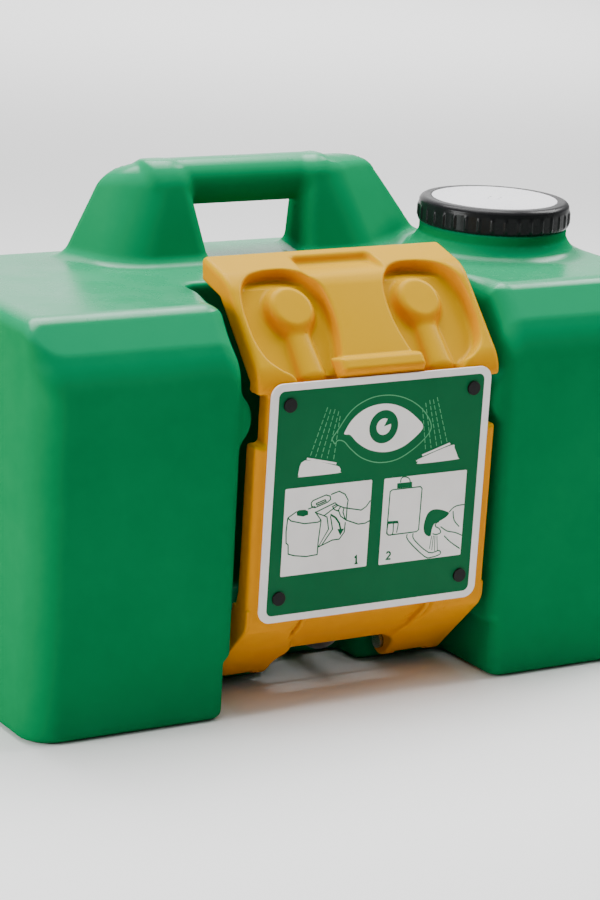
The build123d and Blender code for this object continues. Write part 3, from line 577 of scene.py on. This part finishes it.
def arm_field(x, y, z):
    ax = np.abs(x)
    d, plain, D = arm_front(x, y, z)
    half = ax - AH
    # side outline, notched round the tank's snap bumps
    side = smax(half, -smax(np.abs(z - BUMP_Z) - 19.5, 98.0 - ax, 3.0), 2.5)
    top_end = (y + 31.8) * 0.966 - (z - 337.7) * 0.10
    whole = smax(smax(d, side, 4.6), top_end, 3.5)
    # below the hinge line the leg wraps round the pin
    eye = np.hypot(y - PY, z - PZ) - EYE
    past = (-(z - PZ) + (y - PY)) * SQ
    wrap = np.maximum(eye, half)
    # opening between the legs
    gap = rrect(x, z - 4.0, 54.0, 30.0, 15.0)
    skin = smax(whole, -(whole + 3.0), 0.7)
    rimd = 16.0 + 8.0 * (1 - sstep(z, 62.0, 100.0))
    skin = smax(skin, -(plain + rimd), 0.8)
    skin = np.maximum(skin, past)
    # curved end of the skin, left open where the hinge bracket passes
    ends = smax(smax(eye, -(eye + 3.0), 0.6), smax(half, 0 * x - 9, 1), 1.5)
    ends = np.maximum(ends, -past)
    ends = np.maximum(ends, y + 60.0)
    slot = np.abs(ax - 80.0) - 15.0
    ends = smax(ends, -slot, 0.6)
    # leg walls either side of the bracket
    lw = np.minimum(np.abs(ax - (AH - 1.6)) - 1.6, np.abs(ax - 56.0) - 2.0)
    slab = np.maximum(plain, -(plain + 24.0))
    wall = np.maximum(slab, z - 84.0)
    wall = np.maximum(wall, past)
    wall = np.minimum(wall, eye)
    wall = smax(wall, lw, 1.2)
    f = np.minimum(np.minimum(skin, ends), wall)
    f = smax(f, -gap, 2.0)
    # room for the bracket's knuckle and the pin's head
    rp = np.hypot(y - PY, z - PZ)
    f = np.maximum(f, -np.maximum(np.maximum(rp - 10.6, np.abs(ax - 80.0) - 21.2), past))
    f = np.maximum(f, -np.maximum(rp - 7.6, ax - 53.9))
    # hinge bores
    f = np.maximum(f, -(rp - 6.0))
    # rivet holes
    for rz in (243.1, 91.9):
        rh = np.hypot(ax - 81.6, z - rz) - 3.0
        f = np.maximum(f, -np.maximum(rh, y + 110))
    # screw bosses behind the skin
    dg = (y - A3[0]) * g_out[0] + (z - A3[1]) * g_out[1]
    for bx, bz in ((18.0, 112.0), (44.0, 190.0)):
        r = np.hypot(ax - bx, z - bz)
        bo = smax(r - 5.0, np.abs(dg + 6.0) - 4.0, 0.6)
        f = np.minimum(f, bo)
        f = np.maximum(f, -np.maximum(r - 1.75, np.abs(dg + 8.0) - 4.5))
    return f


ha = 1.3
co, qd = surface_nets(arm_field, (-110, -140, 4), (110, -24, 342), ha)
arm = mesh_from("arm_tray", co, qd, M["yellow"])
print("arm", len(co), len(qd))
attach(arm, "arm")
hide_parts("arm_shell")

# ============================================================== simple finishes on the CAD pieces
def dress(names, mat):
    for n in names:
        ms = N[n].data.materials
        if len(ms) == 0:
            ms.append(mat)
        for i in range(len(ms)):
            ms[i] = mat


dress(["cap_label"], M["label"])
dress(["vent_valve", "cap_gasket", "outlet_gasket", "left_flow_disc", "right_flow_disc"], M["rubber"])
dress(["bracket_inserts"], M["brass"])
dress(["outlet_fitting", "outlet_locknut", "left_hinge_bracket", "right_hinge_bracket", "hinge_bushes", "inlet_tee"], M["nylon_black"])
dress(["outlet_strainer", "riser_clips"], M["nylon_white"])
dress(["left_hinge_pin", "right_hinge_pin", "hinge_bracket_screws", "inlet_tee_screws", "riser_clamps", "riser_clip_screws"], M["steel"])
dress(["tank_hose_clamp", "arm_hose_clamp"], M["steel_dark"])
dress(["supply_hose", "left_riser_tube", "right_riser_tube"], M["hose"])
dress(["left_spray_head", "right_spray_head"], M["head"])
dress(["left_spray_face", "right_spray_face"], M["face"])
dress(["sign_plate"], M["sign_white"])
dress(["sign_rivets"], M["rivet"])

# ============================================================== cap
NR = 36


def cap_field(x, y, z):
    dx, dy = x - CX, y - CY
    rho = np.hypot(dx, dy)
    th = np.arctan2(dy, dx)
    ridge = np.clip(1 - np.abs(((th * NR / (2 * np.pi)) % 1.0) - 0.5) * 5.0, 0, 1)
    ridge = ridge * ridge * (3 - 2 * ridge)
    fade = sstep(z, 336.8, 339.0) * (1 - sstep(z, 346.0, 350.5))
    R = 62.1 + 1.1 * ridge * fade
    o = smax(rho - R, z - 355.8, 5.0)
    o = smax(o, 335.6 - z, 1.4)
    # shallow seat for the label and a soft inner edge
    o = smax(o, -np.maximum(rho - 52.0, 355.3 - z), 0.4)
    # step round the skirt just under the top rim
    gro = np.hypot(rho - 62.9, z - 351.2) - 0.9
    o = smax(o, -gro, 0.5)
    cav = smax(rho - 57.6, z - 352.3, 1.0)
    o = smax(o, -cav, 0.6)
    thr = np.hypot(rho - 57.9, ((z - 6.0 * th / (2 * np.pi)) % 6.0) - 3.0) - 1.1
    thr = np.maximum(thr, np.abs(z - 343.5) - 5.0)
    return np.minimum(o, thr)


co, qd = surface_nets(cap_field, (CX - 65, CY - 65, 330.5), (CX + 65, CY + 65, 357.5), 0.85)
cap = mesh_from("cap_moulding", co, qd, M["cap"])
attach(cap, "cap")
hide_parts("fill_cap")


# ============================================================== tubes
def tube(name, path, r, mat, n=20, ri=None):
    """Closed tube along a path of points in millimetres."""
    p = np.array(path, float)
    t = np.gradient(p, axis=0)
    t /= np.linalg.norm(t, axis=1)[:, None]
    up0 = np.array((1.0, 0, 0)) if abs(t[0][0]) < 0.9 else np.array((0, 0, 1.0))
    verts, faces = [], []
    radii = [r] if ri is None else [r, ri]
    ref = up0
    rings = []
    for i in range(len(p)):
        a = ref - t[i] * (ref @ t[i])
        a /= np.linalg.norm(a)
        b = np.cross(t[i], a)
        ref = a
        for rad in radii:
            rr_ = rad[i] if hasattr(rad, "__len__") else rad
            rings.append([p[i] + rr_ * (math.cos(2 * math.pi * k / n) * a + math.sin(2 * math.pi * k / n) * b) for k in range(n)])
    verts = [v for rg in rings for v in rg]
    m = len(radii)
    L = len(p)

    def vid(i, s_, k):
        return (i * m + s_) * n + k % n
    for i in range(L - 1):
        for k in range(n):
            faces.append((vid(i, 0, k), vid(i, 0, k + 1), vid(i + 1, 0, k + 1), vid(i + 1, 0, k)))
            if m == 2:
                faces.append((vid(i, 1, k + 1), vid(i, 1, k), vid(i + 1, 1, k), vid(i + 1, 1, k + 1)))
    for i, fl in ((0, True), (L - 1, False)):
        if m == 2:
            for k in range(n):
                q = (vid(i, 0, k), vid(i, 1, k), vid(i, 1, k + 1), vid(i, 0, k + 1))
                faces.append(q if fl else q[::-1])
        else:
            q = tuple(vid(i, 0, k) for k in range(n))
            faces.append(q[::-1] if fl else q)
    me = bpy.data.meshes.new(name)
    me.from_pydata([tuple(v * MM) for v in verts], [], faces)
    me.update()
    for f in me.polygons:
        f.use_smooth = True
    me.materials.append(mat)
    ob = bpy.data.objects.new(name, me)
    bpy.context.scene.collection.objects.link(ob)
    return ob


def fillet_path(pts, R, step=1.5):
    """Straight runs joined by arcs of radius R."""
    pts = [np.array(p, float) for p in pts]
    out = [pts[0]]
    for i in range(1, len(pts) - 1):
        a, b, c = pts[i - 1], pts[i], pts[i + 1]
        u = (a - b) / np.linalg.norm(a - b)
        v = (c - b) / np.linalg.norm(c - b)
        ang = math.acos(np.clip(u @ v, -1, 1))
        d = R / math.tan(ang / 2)
        p0, p1 = b + u * d, b + v * d
        bis = (u + v) / np.linalg.norm(u + v)
        cen = b + bis * R / math.sin(ang / 2)
        n = max(6, int(R * (math.pi - ang) / step))
        e0, e1 = (p0 - cen) / R, (p1 - cen) / R
        om = math.acos(np.clip(e0 @ e1, -1, 1))
        for k in range(n + 1):
            t_ = k / n
            out.append(cen + R * (math.sin((1 - t_) * om) * e0 + math.sin(t_ * om) * e1) / math.sin(om))
    out.append(pts[-1])
    res = [out[0]]
    for q in out[1:]:
        d = np.linalg.norm(q - res[-1])
        m = max(1, int(d / (step * 1.6)))
        for k in range(1, m + 1):
            res.append(res[-1] + (q - res[-1]) * (1.0 / (m - k + 1)))
    keep = [res[0]]
    for q in res[1:]:
        if np.linalg.norm(q - keep[-1]) > 0.3:
            keep.append(q)
    return keep


hp = fillet_path([(0, -26, 24), (0, -74.5, 24), (0, -101.18, 97.30)], 42.0)
hose = tube("supply_hose_bent", hp, 7.0, M["hose"], 28, 5.0)
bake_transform(hose)
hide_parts("supply_hose")

# thread on the neck, seen when the cap is backed off
hx = []
for k in range(0, 150):
    a_ = k / 72.0 * 2 * math.pi
    e_ = min(1.0, k / 14.0, (149 - k) / 14.0)
    hx.append((CX + (53.6 + 0.8 * e_) * math.cos(a_), CY + (53.6 + 0.8 * e_) * math.sin(a_), 334.5 + 6.0 * a_ / (2 * math.pi)))
thr = tube("neck_thread", hx, 1.35, M["green"], 10)
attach(thr, "tank")

# ============================================================== sign print
G = {
    "tank_outline": [(-77.6, 155.2), (-78.3, 144.3), (-77.7, 135.5), (-75.8, 133.7), (-75.3, 126.5), (-69.9, 124.6), (-59.3, 122.8), (-49.6, 123.3), (-49.5, 133.1), (-48.1, 150.4)],
    "tank_front_edge": [(-77.6, 155.2), (-74.5, 152.5), (-62.9, 149.2), (-50.6, 149.1), (-48.1, 150.4)],
    "tank_top": [(-77.6, 155.2), (-70.3, 159.4)],
    "tank_top2": [(-60.2, 160.4), (-54.1, 161.9)],
    "tank_top3": [(-48.1, 150.4), (-53.9, 157.7)],
    "cap1": [(-70.3, 159.5), (-68.1, 160.4), (-62.8, 160.2), (-60.1, 158.8), (-59.9, 155.8), (-64.2, 154.9), (-69.5, 156.2)],
    "handle_a": [(-57.9, 164.9), (-56.3, 166.7), (-45.1, 170.0), (-41.5, 168.7), (-40.8, 166.1), (-43.3, 164.2), (-54.3, 160.9), (-57.2, 162.2), (-57.9, 164.9)],
    "handle_b": [(-53.5, 164.0), (-45.7, 166.3), (-44.7, 165.1), (-52.5, 162.8), (-53.5, 164.0)],
    "back_top": [(-40.7, 169.9), (-33.7, 171.8), (-28.3, 168.9), (-25.2, 163.9), (-25.7, 159.9)],
    "pull_arm_front": [(-53.8, 157.0), (-36.7, 163.0), (-34.2, 160.7), (-45.7, 153.7), (-53.8, 157.0)],
    "pull_arm_leg": [(-45.7, 153.7), (-43.0, 152.3), (-41.0, 142.5), (-49.2, 129.2), (-46.1, 130.4), (-37.4, 142.1), (-40.0, 152.8)],
    "sleeve": [(-31.6, 159.5), (-28.4, 158.2), (-12.9, 154.7), (-8.6, 157.1), (-5.1, 161.6)],
    "sleeve2": [(-31.6, 159.5), (-33.2, 156.8), (-31.0, 151.8), (-25.8, 148.1), (-14.7, 143.7), (-8.5, 143.8), (-4.7, 145.4)],
    "cuff": [(-28.4, 158.2), (-29.1, 154.8), (-26.5, 148.5)],
    "hand": [(-31.6, 159.5), (-35.6, 161.5), (-38.7, 160.2), (-36.8, 157.5), (-33.2, 156.0)],
    "arrow_shaft": [(-40.1, 154.1), (-35.2, 150.9), (-31.7, 146.2), (-30.0, 140.6)],
    "arrow_head": [(-33.1, 141.7), (-27.1, 141.5), (-30.2, 136.2)],
    "right_side": [(-25.7, 159.9), (-25.8, 148.1)],
    "right_side2": [(-26.4, 146.6), (-26.8, 138.6), (-30.9, 133.5), (-37.1, 133.4), (-49.2, 129.2)],
    "hang_body": [(14.1, 168.1), (39.6, 168.1), (41.2, 166.4), (40.8, 133.2), (38.7, 131.9), (13.6, 131.8), (11.7, 133.5), (12.2, 166.8), (14.1, 168.1)],
    "cap2": [(18.0, 172.9), (31.6, 172.8), (31.9, 168.6), (18.3, 168.7)],
    "hook": [(21.0, 173.2), (21.5, 176.4), (23.9, 177.4), (27.2, 176.7), (29.2, 175.0), (29.8, 172.7)],
    "box2": [(12.3, 141.4), (12.1, 133.1), (17.1, 132.3), (17.2, 140.9)],
    "box2b": [(17.2, 140.9), (21.5, 141.0), (20.7, 133.1)],
    "box2cap": [(11.9, 143.1), (21.4, 142.7), (21.5, 140.5), (12.1, 140.8)],
    "arm2_out": [(30.6, 130.8), (31.9, 125.5), (48.2, 110.7), (55.0, 109.4), (61.7, 110.7), (62.8, 112.6), (60.4, 114.2), (51.6, 113.6), (37.4, 125.5), (36.0, 130.9)],
    "head2": [(54.5, 148.3), (60.3, 147.4), (66.1, 145.2), (68.0, 143.6), (65.1, 140.7), (59.3, 138.1), (54.8, 136.3), (53.0, 131.9), (52.3, 127.2), (49.1, 127.5), (46.1, 130.7), (45.3, 136.5), (47.2, 143.9), (50.2, 147.3)],
    "shirt_a": [(68.0, 144.7), (71.4, 147.8), (75.9, 149.3), (81.8, 149.3)],
    "shirt_b": [(61.0, 133.6), (67.5, 129.3), (75.1, 127.3), (81.5, 124.3)],
    "shirt_c": [(65.0, 125.7), (71.4, 119.9), (80.6, 113.6)],
    "shirt_d": [(71.6, 145.1), (73.2, 137.6), (78.4, 131.8)],
    "face2": [(59.3, 137.8), (56.6, 136.8), (56.5, 134.1), (59.8, 132.2), (61.4, 128.8), (57.5, 127.6), (54.0, 128.6)],
    "spray2a": [(55.0, 126.9), (54.5, 115.2)],
    "spray2b": [(56.4, 126.7), (57.1, 114.2)],
    "spray2c": [(58.3, 126.4), (59.7, 114.3)],
    "spray2d": [(53.4, 127.1), (52.2, 116.4)],
    "n1": [(-15.9, 116.9), (-14.5, 118.1), (-14.1, 112.0)],
    "n1b": [(-15.6, 112.1), (-12.7, 112.1)],
    "n2": [(12.9, 116.9), (13.5, 118.1), (15.0, 118.3), (16.2, 117.2), (16.3, 115.9), (14.6, 114.0), (13.1, 112.4), (16.9, 112.3)],
    "streamL1": [(-48.5, 239.4), (-61.1, 202.3)],
    "streamL2": [(-45.5, 237.9), (-56.5, 200.9)],
    "streamL3": [(-42.1, 236.7), (-51.5, 199.9)],
    "streamL4": [(-38.6, 235.4), (-46.3, 198.8)],
    "streamL5": [(-37.1, 232.2), (-40.5, 197.5)],
    "streamR1": [(48.7, 239.0), (61.1, 201.7)],
    "streamR2": [(45.1, 238.1), (56.2, 200.9)],
    "streamR3": [(42.1, 236.8), (51.7, 199.7)],
    "streamR4": [(38.6, 235.4), (46.8, 198.3)],
    "streamR5": [(36.0, 232.2), (41.8, 197.1)],
    "headL": [(-69.9, 187.2), (-70.6, 189.5), (-65.6, 199.0), (-38.9, 192.7), (-34.2, 189.8), (-34.1, 187.6), (-36.1, 186.3), (-68.2, 186.3)],
    "headLcap": [(-63.9, 201.0), (-37.8, 194.8), (-38.0, 193.2), (-64.2, 199.5)],
    "headR": [(35.7, 188.4), (35.9, 190.3), (65.0, 198.8), (68.4, 196.2), (72.0, 188.7), (70.7, 187.0), (37.7, 186.6)],
    "headRcap": [(38.9, 193.8), (63.5, 201.1), (64.4, 199.6), (39.4, 192.4)],
    "eyeline": [(-42.8, 214.0), (-38.3, 220.2), (-27.1, 234.7), (-11.8, 242.5), (4.1, 243.8), (18.7, 240.6), (31.9, 233.6), (41.4, 224.1), (45.5, 215.0), (41.3, 207.5), (29.5, 198.3), (15.5, 191.9), (-0.6, 191.2), (-15.2, 196.1), (-25.7, 204.1), (-32.3, 210.6), (-37.7, 212.0), (-40.1, 209.7), (-41.5, 211.1)],
    "almond": [(-32.2, 218.1), (-26.5, 226.9), (-16.5, 234.1), (-4.2, 237.2), (8.6, 236.4), (21.2, 231.4), (31.9, 223.4), (37.9, 216.2), (32.2, 209.1), (20.1, 201.5), (5.9, 198.9), (-8.6, 201.8), (-19.8, 208.3), (-27.0, 215.2), (-31.6, 216.1)],
    "iris": [(2.2, 219.2), (-10.7, 219.3), (15.1, 219.2), (2.5, 232.2), (1.8, 206.0)],
    "pupil": [(2.2, 219.4), (-4.2, 219.3), (8.6, 219.4), (2.3, 225.7), (2.0, 212.8)],
    "notch": [(1.6, 219.4), (4.8, 226.1), (9.8, 222.1)],
    "lpanel": [(-80.6, 178.5), (-4.7, 177.3), (-4.7, 108.6), (-81.4, 109.4)],
    "rpanel": [(6.6, 177.6), (81.9, 177.5), (81.1, 108.1), (6.0, 108.8)],
}


def on_sign(x, z, h):
    """Point of the sign face at width x and height z, h outwards from the arm's skin."""
    t_ = (z - A3[1]) / gt[1]
    q = A3 + gt * t_ + g_out * h
    return (x * MM, q[0] * MM, q[1] * MM)


class Ink:
    def __init__(self):
        self.v, self.f = [], []

    def poly(self, pts, h0, h1):
        a = 0.0
        for (x0, z0), (x1, z1) in zip(pts, pts[1:] + pts[:1]):
            a += x0 * z1 - x1 * z0
        if a < 0:
            pts = pts[::-1]
        n, b = len(pts), len(self.v)
        self.v += [on_sign(x, z, h1) for x, z in pts] + [on_sign(x, z, h0) for x, z in pts]
        self.f.append(tuple(range(b, b + n)))
        self.f.append(tuple(range(b + 2 * n - 1, b + n - 1, -1)))
        for i in range(n):
            j = (i + 1) % n
            self.f.append((b + i, b + n + i, b + n + j, b + j))

    def stroke(self, pts, w, h0, h1, closed=False):
        p = [np.array(q, float) for q in pts]
        if closed:
            p.append(p[0])
        L_, R_ = [], []
        for i in range(len(p)):
            if closed:
                a = p[i] - p[i - 1 if i > 0 else -2]
                b = p[(i + 1) if i < len(p) - 1 else 1] - p[i]
            else:
                a = p[i] - p[i - 1] if i > 0 else p[1] - p[0]
                b = p[i + 1] - p[i] if i < len(p) - 1 else p[-1] - p[-2]
            a = a / max(np.linalg.norm(a), 1e-9)
            b = b / max(np.linalg.norm(b), 1e-9)
            t_ = a + b
            if np.linalg.norm(t_) < 0.3:
                t_ = b
            t_ = t_ / np.linalg.norm(t_)
            nrm = np.array((-t_[1], t_[0]))
            k = w / 2 / max(0.5, abs(nrm @ np.array((-b[1], b[0]))))
            L_.append(p[i] + nrm * k)
            R_.append(p[i] - nrm * k)
        b0 = len(self.v)
        for l, r in zip(L_, R_):
            self.v += [on_sign(l[0], l[1], h1), on_sign(r[0], r[1], h1), on_sign(r[0], r[1], h0), on_sign(l[0], l[1], h0)]
        for i in range(len(p) - 1):
            q0, q1 = b0 + 4 * i, b0 + 4 * (i + 1)
            for k in range(4):
                m = (k + 1) % 4
                self.f.append((q0 + k, q0 + m, q1 + m, q1 + k))
        self.f.append((b0 + 3, b0 + 2, b0 + 1, b0))
        e = b0 + 4 * (len(p) - 1)
        self.f.append((e, e + 1, e + 2, e + 3))

    def make(self, name, mat):
        me = bpy.data.meshes.new(name)
        me.from_pydata(self.v, [], self.f)
        me.update()
        bm = bmesh.new()
        bm.from_mesh(me)
        bmesh.ops.recalc_face_normals(bm, faces=bm.faces)
        bmesh.ops.triangulate(bm, faces=[f for f in bm.faces if len(f.verts) > 4])
        bm.to_mesh(me)
        bm.free()
        me.materials.append(mat)
        ob = bpy.data.objects.new(name, me)
        bpy.context.scene.collection.objects.link(ob)
        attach(ob, "arm")
        return ob


def rounded(x0, z0, x1, z1, r, n=8):
    pts = []
    for cx_, cz_, a0 in ((x1 - r, z1 - r, 0), (x0 + r, z1 - r, 90), (x0 + r, z0 + r, 180), (x1 - r, z0 + r, 270)):
        for k in range(n + 1):
            a_ = math.radians(a0 + 90 * k / n)
            pts.append((cx_ + r * math.cos(a_), cz_ + r * math.sin(a_)))
    return pts


def ell(cx_, cz_, rx, rz, n=40, a0=0, a1=360):
    full = a1 - a0 >= 360
    m = n if full else n + 1
    return [(cx_ + rx * math.cos(math.radians(a0 + (a1 - a0) * k / n)), cz_ + rz * math.sin(math.radians(a0 + (a1 - a0) * k / n))) for k in range(m)]


def sm(key, n=6, closed=False):
    return [tuple(q) for q in catmull(G[key], n, closed)]


H0, H1, H2, H3, H4 = 1.45, 1.58, 1.66, 1.74, 1.82
ink = Ink()
ink.poly(rounded(-91.3, 78.2, 91.3, 254.0, 5.0), H0, H1)
ink.make("sign_field", M["sign_green"])

ink = Ink()
ink.poly(sm("almond", 5, True), H0, H2)
ink.poly(rounded(-81.0, 108.9, -4.8, 178.0, 1.0, 3), H0, H2)
ink.poly(rounded(6.3, 108.5, 81.6, 177.6, 1.0, 3), H0, H2)
ink.poly(sm("headL", 4, True), H0, H2)
ink.poly(G["headLcap"], H0, H2)
ink.poly(sm("headR", 4, True), H0, H2)
ink.poly(G["headRcap"], H0, H2)
ink.make("sign_panels", M["sign_white"])

ink = Ink()
ink.poly(ell(2.2, 219.2, 12.9, 13.1), H0, H3)
ink.make("sign_iris", M["sign_green"])
ink = Ink()
ink.poly(ell(2.2, 219.3, 6.4, 6.5, 36, 62, 375) + [(2.2, 219.3)], H0, H4)
ink.make("sign_pupil", M["sign_white"])

ink = Ink()
ink.stroke(sm("eyeline", 6, True), 0.75, H0, H2, True)
for k in "LR":
    for j in range(1, 6):
        a_, b_ = [np.array(v) for v in G["stream%s%d" % (k, j)]]
        d_ = b_ - a_
        ln = np.linalg.norm(d_)
        pos = 0.6 * (j % 3)
        while pos < ln - 1:
            e_ = min(pos + 3.6, ln)
            ink.stroke([a_ + d_ * pos / ln, a_ + d_ * e_ / ln], 0.62, H0, H2)
            pos += 5.0
ink.make("sign_streams", M["sign_line"])

ink = Ink()
for k in ("tank_outline", "tank_front_edge", "tank_top", "tank_top2", "tank_top3", "handle_b", "back_top", "pull_arm_leg", "sleeve", "sleeve2", "cuff", "hand", "arrow_shaft", "right_side", "right_side2"):
    ink.stroke(G[k], 0.95 if k != "arrow_shaft" else 1.5, H0, H3)
for k in ("handle_a", "pull_arm_front", "hang_body"):
    ink.stroke(G[k], 0.95, H0, H3)
for k in ("hook", "box2", "box2b", "arm2_out", "shirt_a", "shirt_b", "shirt_c", "shirt_d", "face2"):
    ink.stroke(sm(k, 3), 0.9, H0, H3)
for k in ("spray2a", "spray2b", "spray2c", "spray2d"):
    ink.stroke(G[k], 0.6, H0, H3)
for k in ("cap1", "arrow_head", "cap2", "box2cap"):
    ink.poly(list(G[k]), H0, H3)
ink.poly(sm("head2", 3, True), H0, H3)
ink.stroke(G["n1"], 1.5, H0, H3)
ink.stroke(G["n1b"], 1.0, H0, H3)
ink.stroke(G["n2"], 1.3, H0, H3)
ink.make("sign_drawings", M["sign_green"])

# ============================================================== stage, light, camera
def area(name, loc, aim, size, power, col=(1, 1, 1), size_y=None):
    L = bpy.data.lights.new(name, "AREA")
    L.energy = power
    L.color = col
    L.shape = "RECTANGLE"
    L.size = size
    L.size_y = size_y or size
    o = bpy.data.objects.new(name, L)
    bpy.context.scene.collection.objects.link(o)
    o.location = loc
    d = Vector(aim) - Vector(loc)
    o.rotation_euler = d.to_track_quat("-Z", "Y").to_euler()
    return o


def disc_floor():
    me = bpy.data.meshes.new("floor")
    r = 14.0
    me.from_pydata([(-r, -r, 0), (r, -r, 0), (r, r, 0), (-r, r, 0)], [], [(0, 1, 2, 3)])
    o = bpy.data.objects.new("floor", me)
    bpy.context.scene.collection.objects.link(o)
    m, nt, bs = mat_new("floor_pale")
    bs.inputs["Base Color"].default_value = (0.88, 0.88, 0.88, 1)
    bs.inputs["Roughness"].default_value = 0.85
    bs.inputs["Specular IOR Level"].default_value = 0.1
    me.materials.append(m)
    o.location = (0, 0, -0.0006)
    return o


disc_floor()
w = bpy.data.worlds.new("studio")
bpy.context.scene.world = w
w.use_nodes = True
wn = w.node_tree
bg = wn.nodes["Background"]
tc = wn.nodes.new("ShaderNodeTexCoord")
sp = wn.nodes.new("ShaderNodeSeparateXYZ")
wn.links.new(tc.outputs["Generated"], sp.inputs[0])
# bright backdrop behind and above, dim room in front
fr = maprange(wn, sp.outputs["Y"], -0.35, 0.55, 0.0, 1.0)
fr.interpolation_type = "SMOOTHSTEP"
upz = maprange(wn, sp.outputs["Z"], 0.25, 0.9, 0.0, 0.42)
upz.interpolation_type = "SMOOTHSTEP"
mxv = wn.nodes.new("ShaderNodeMath")
mxv.operation = "MAXIMUM"
wn.links.new(fr.outputs[0], mxv.inputs[0])
wn.links.new(upz.outputs[0], mxv.inputs[1])
sidex = maprange(wn, sp.outputs["X"], -0.40, 0.10, 0.06, 1.0)
sidex.interpolation_type = "SMOOTHSTEP"
sider = maprange(wn, sp.outputs["X"], 0.50, 0.74, 1.0, 0.22)
sider.interpolation_type = "SMOOTHSTEP"
pr0 = wn.nodes.new("ShaderNodeMath")
pr0.operation = "MULTIPLY"
wn.links.new(sidex.outputs[0], pr0.inputs[0])
wn.links.new(sider.outputs[0], pr0.inputs[1])
prod = wn.nodes.new("ShaderNodeMath")
prod.operation = "MULTIPLY"
wn.links.new(fr.outputs[0], prod.inputs[0])
wn.links.new(pr0.outputs[0], prod.inputs[1])
wn.links.new(prod.outputs[0], mxv.inputs[0])
st = maprange(wn, mxv.outputs[0], 0.0, 1.0, 0.03, 1.7)
wn.links.new(st.outputs[0], bg.inputs[1])
bg.inputs[0].default_value = (1.0, 1.0, 1.0, 1)

area("top_soft", (0.05, 0.40, 1.7), (0, 0.05, 0.2), 1.3, 52.0)
area("right_soft", (1.5, 0.12, 1.6), (0.05, 0, 0.3), 1.0, 44.0)
area("back_floor", (2.2, 3.6, 2.4), (2.6, 5.2, 0.0), 2.6, 170.0)
area("left_soft", (-2.3, 0.0, 0.70), (0, 0, 0.2), 1.0, 56.0)

cam = bpy.data.cameras.new("cam")
co_ = bpy.data.objects.new("cam", cam)
bpy.context.scene.collection.objects.link(co_)
yaw, pitch, roll = 0.54676, 0.2633, 0.05339
fw = Vector((math.sin(yaw) * math.cos(pitch), math.cos(yaw) * math.cos(pitch), -math.sin(pitch)))
rt = Vector((math.cos(yaw), -math.sin(yaw), 0))
up = rt.cross(fw)
r2 = rt * math.cos(roll) + up * math.sin(roll)
u2 = up * math.cos(roll) - rt * math.sin(roll)
mw = Matrix((r2, u2, -fw)).transposed().to_4x4()
mw.translation = Vector((-1.19203, -1.97590, 0.78905))
co_.matrix_world = mw
cam.sensor_fit = "VERTICAL"
cam.sensor_height = 36.0
cam.sensor_width = 24.0
cam.lens = 3000.47 / 900 * 36
cam.shift_x = (300 - 301.54) / 900
cam.shift_y = (450.72 - 450) / 900
cam.clip_start = 0.05
cam.clip_end = 60
bpy.context.scene.camera = co_
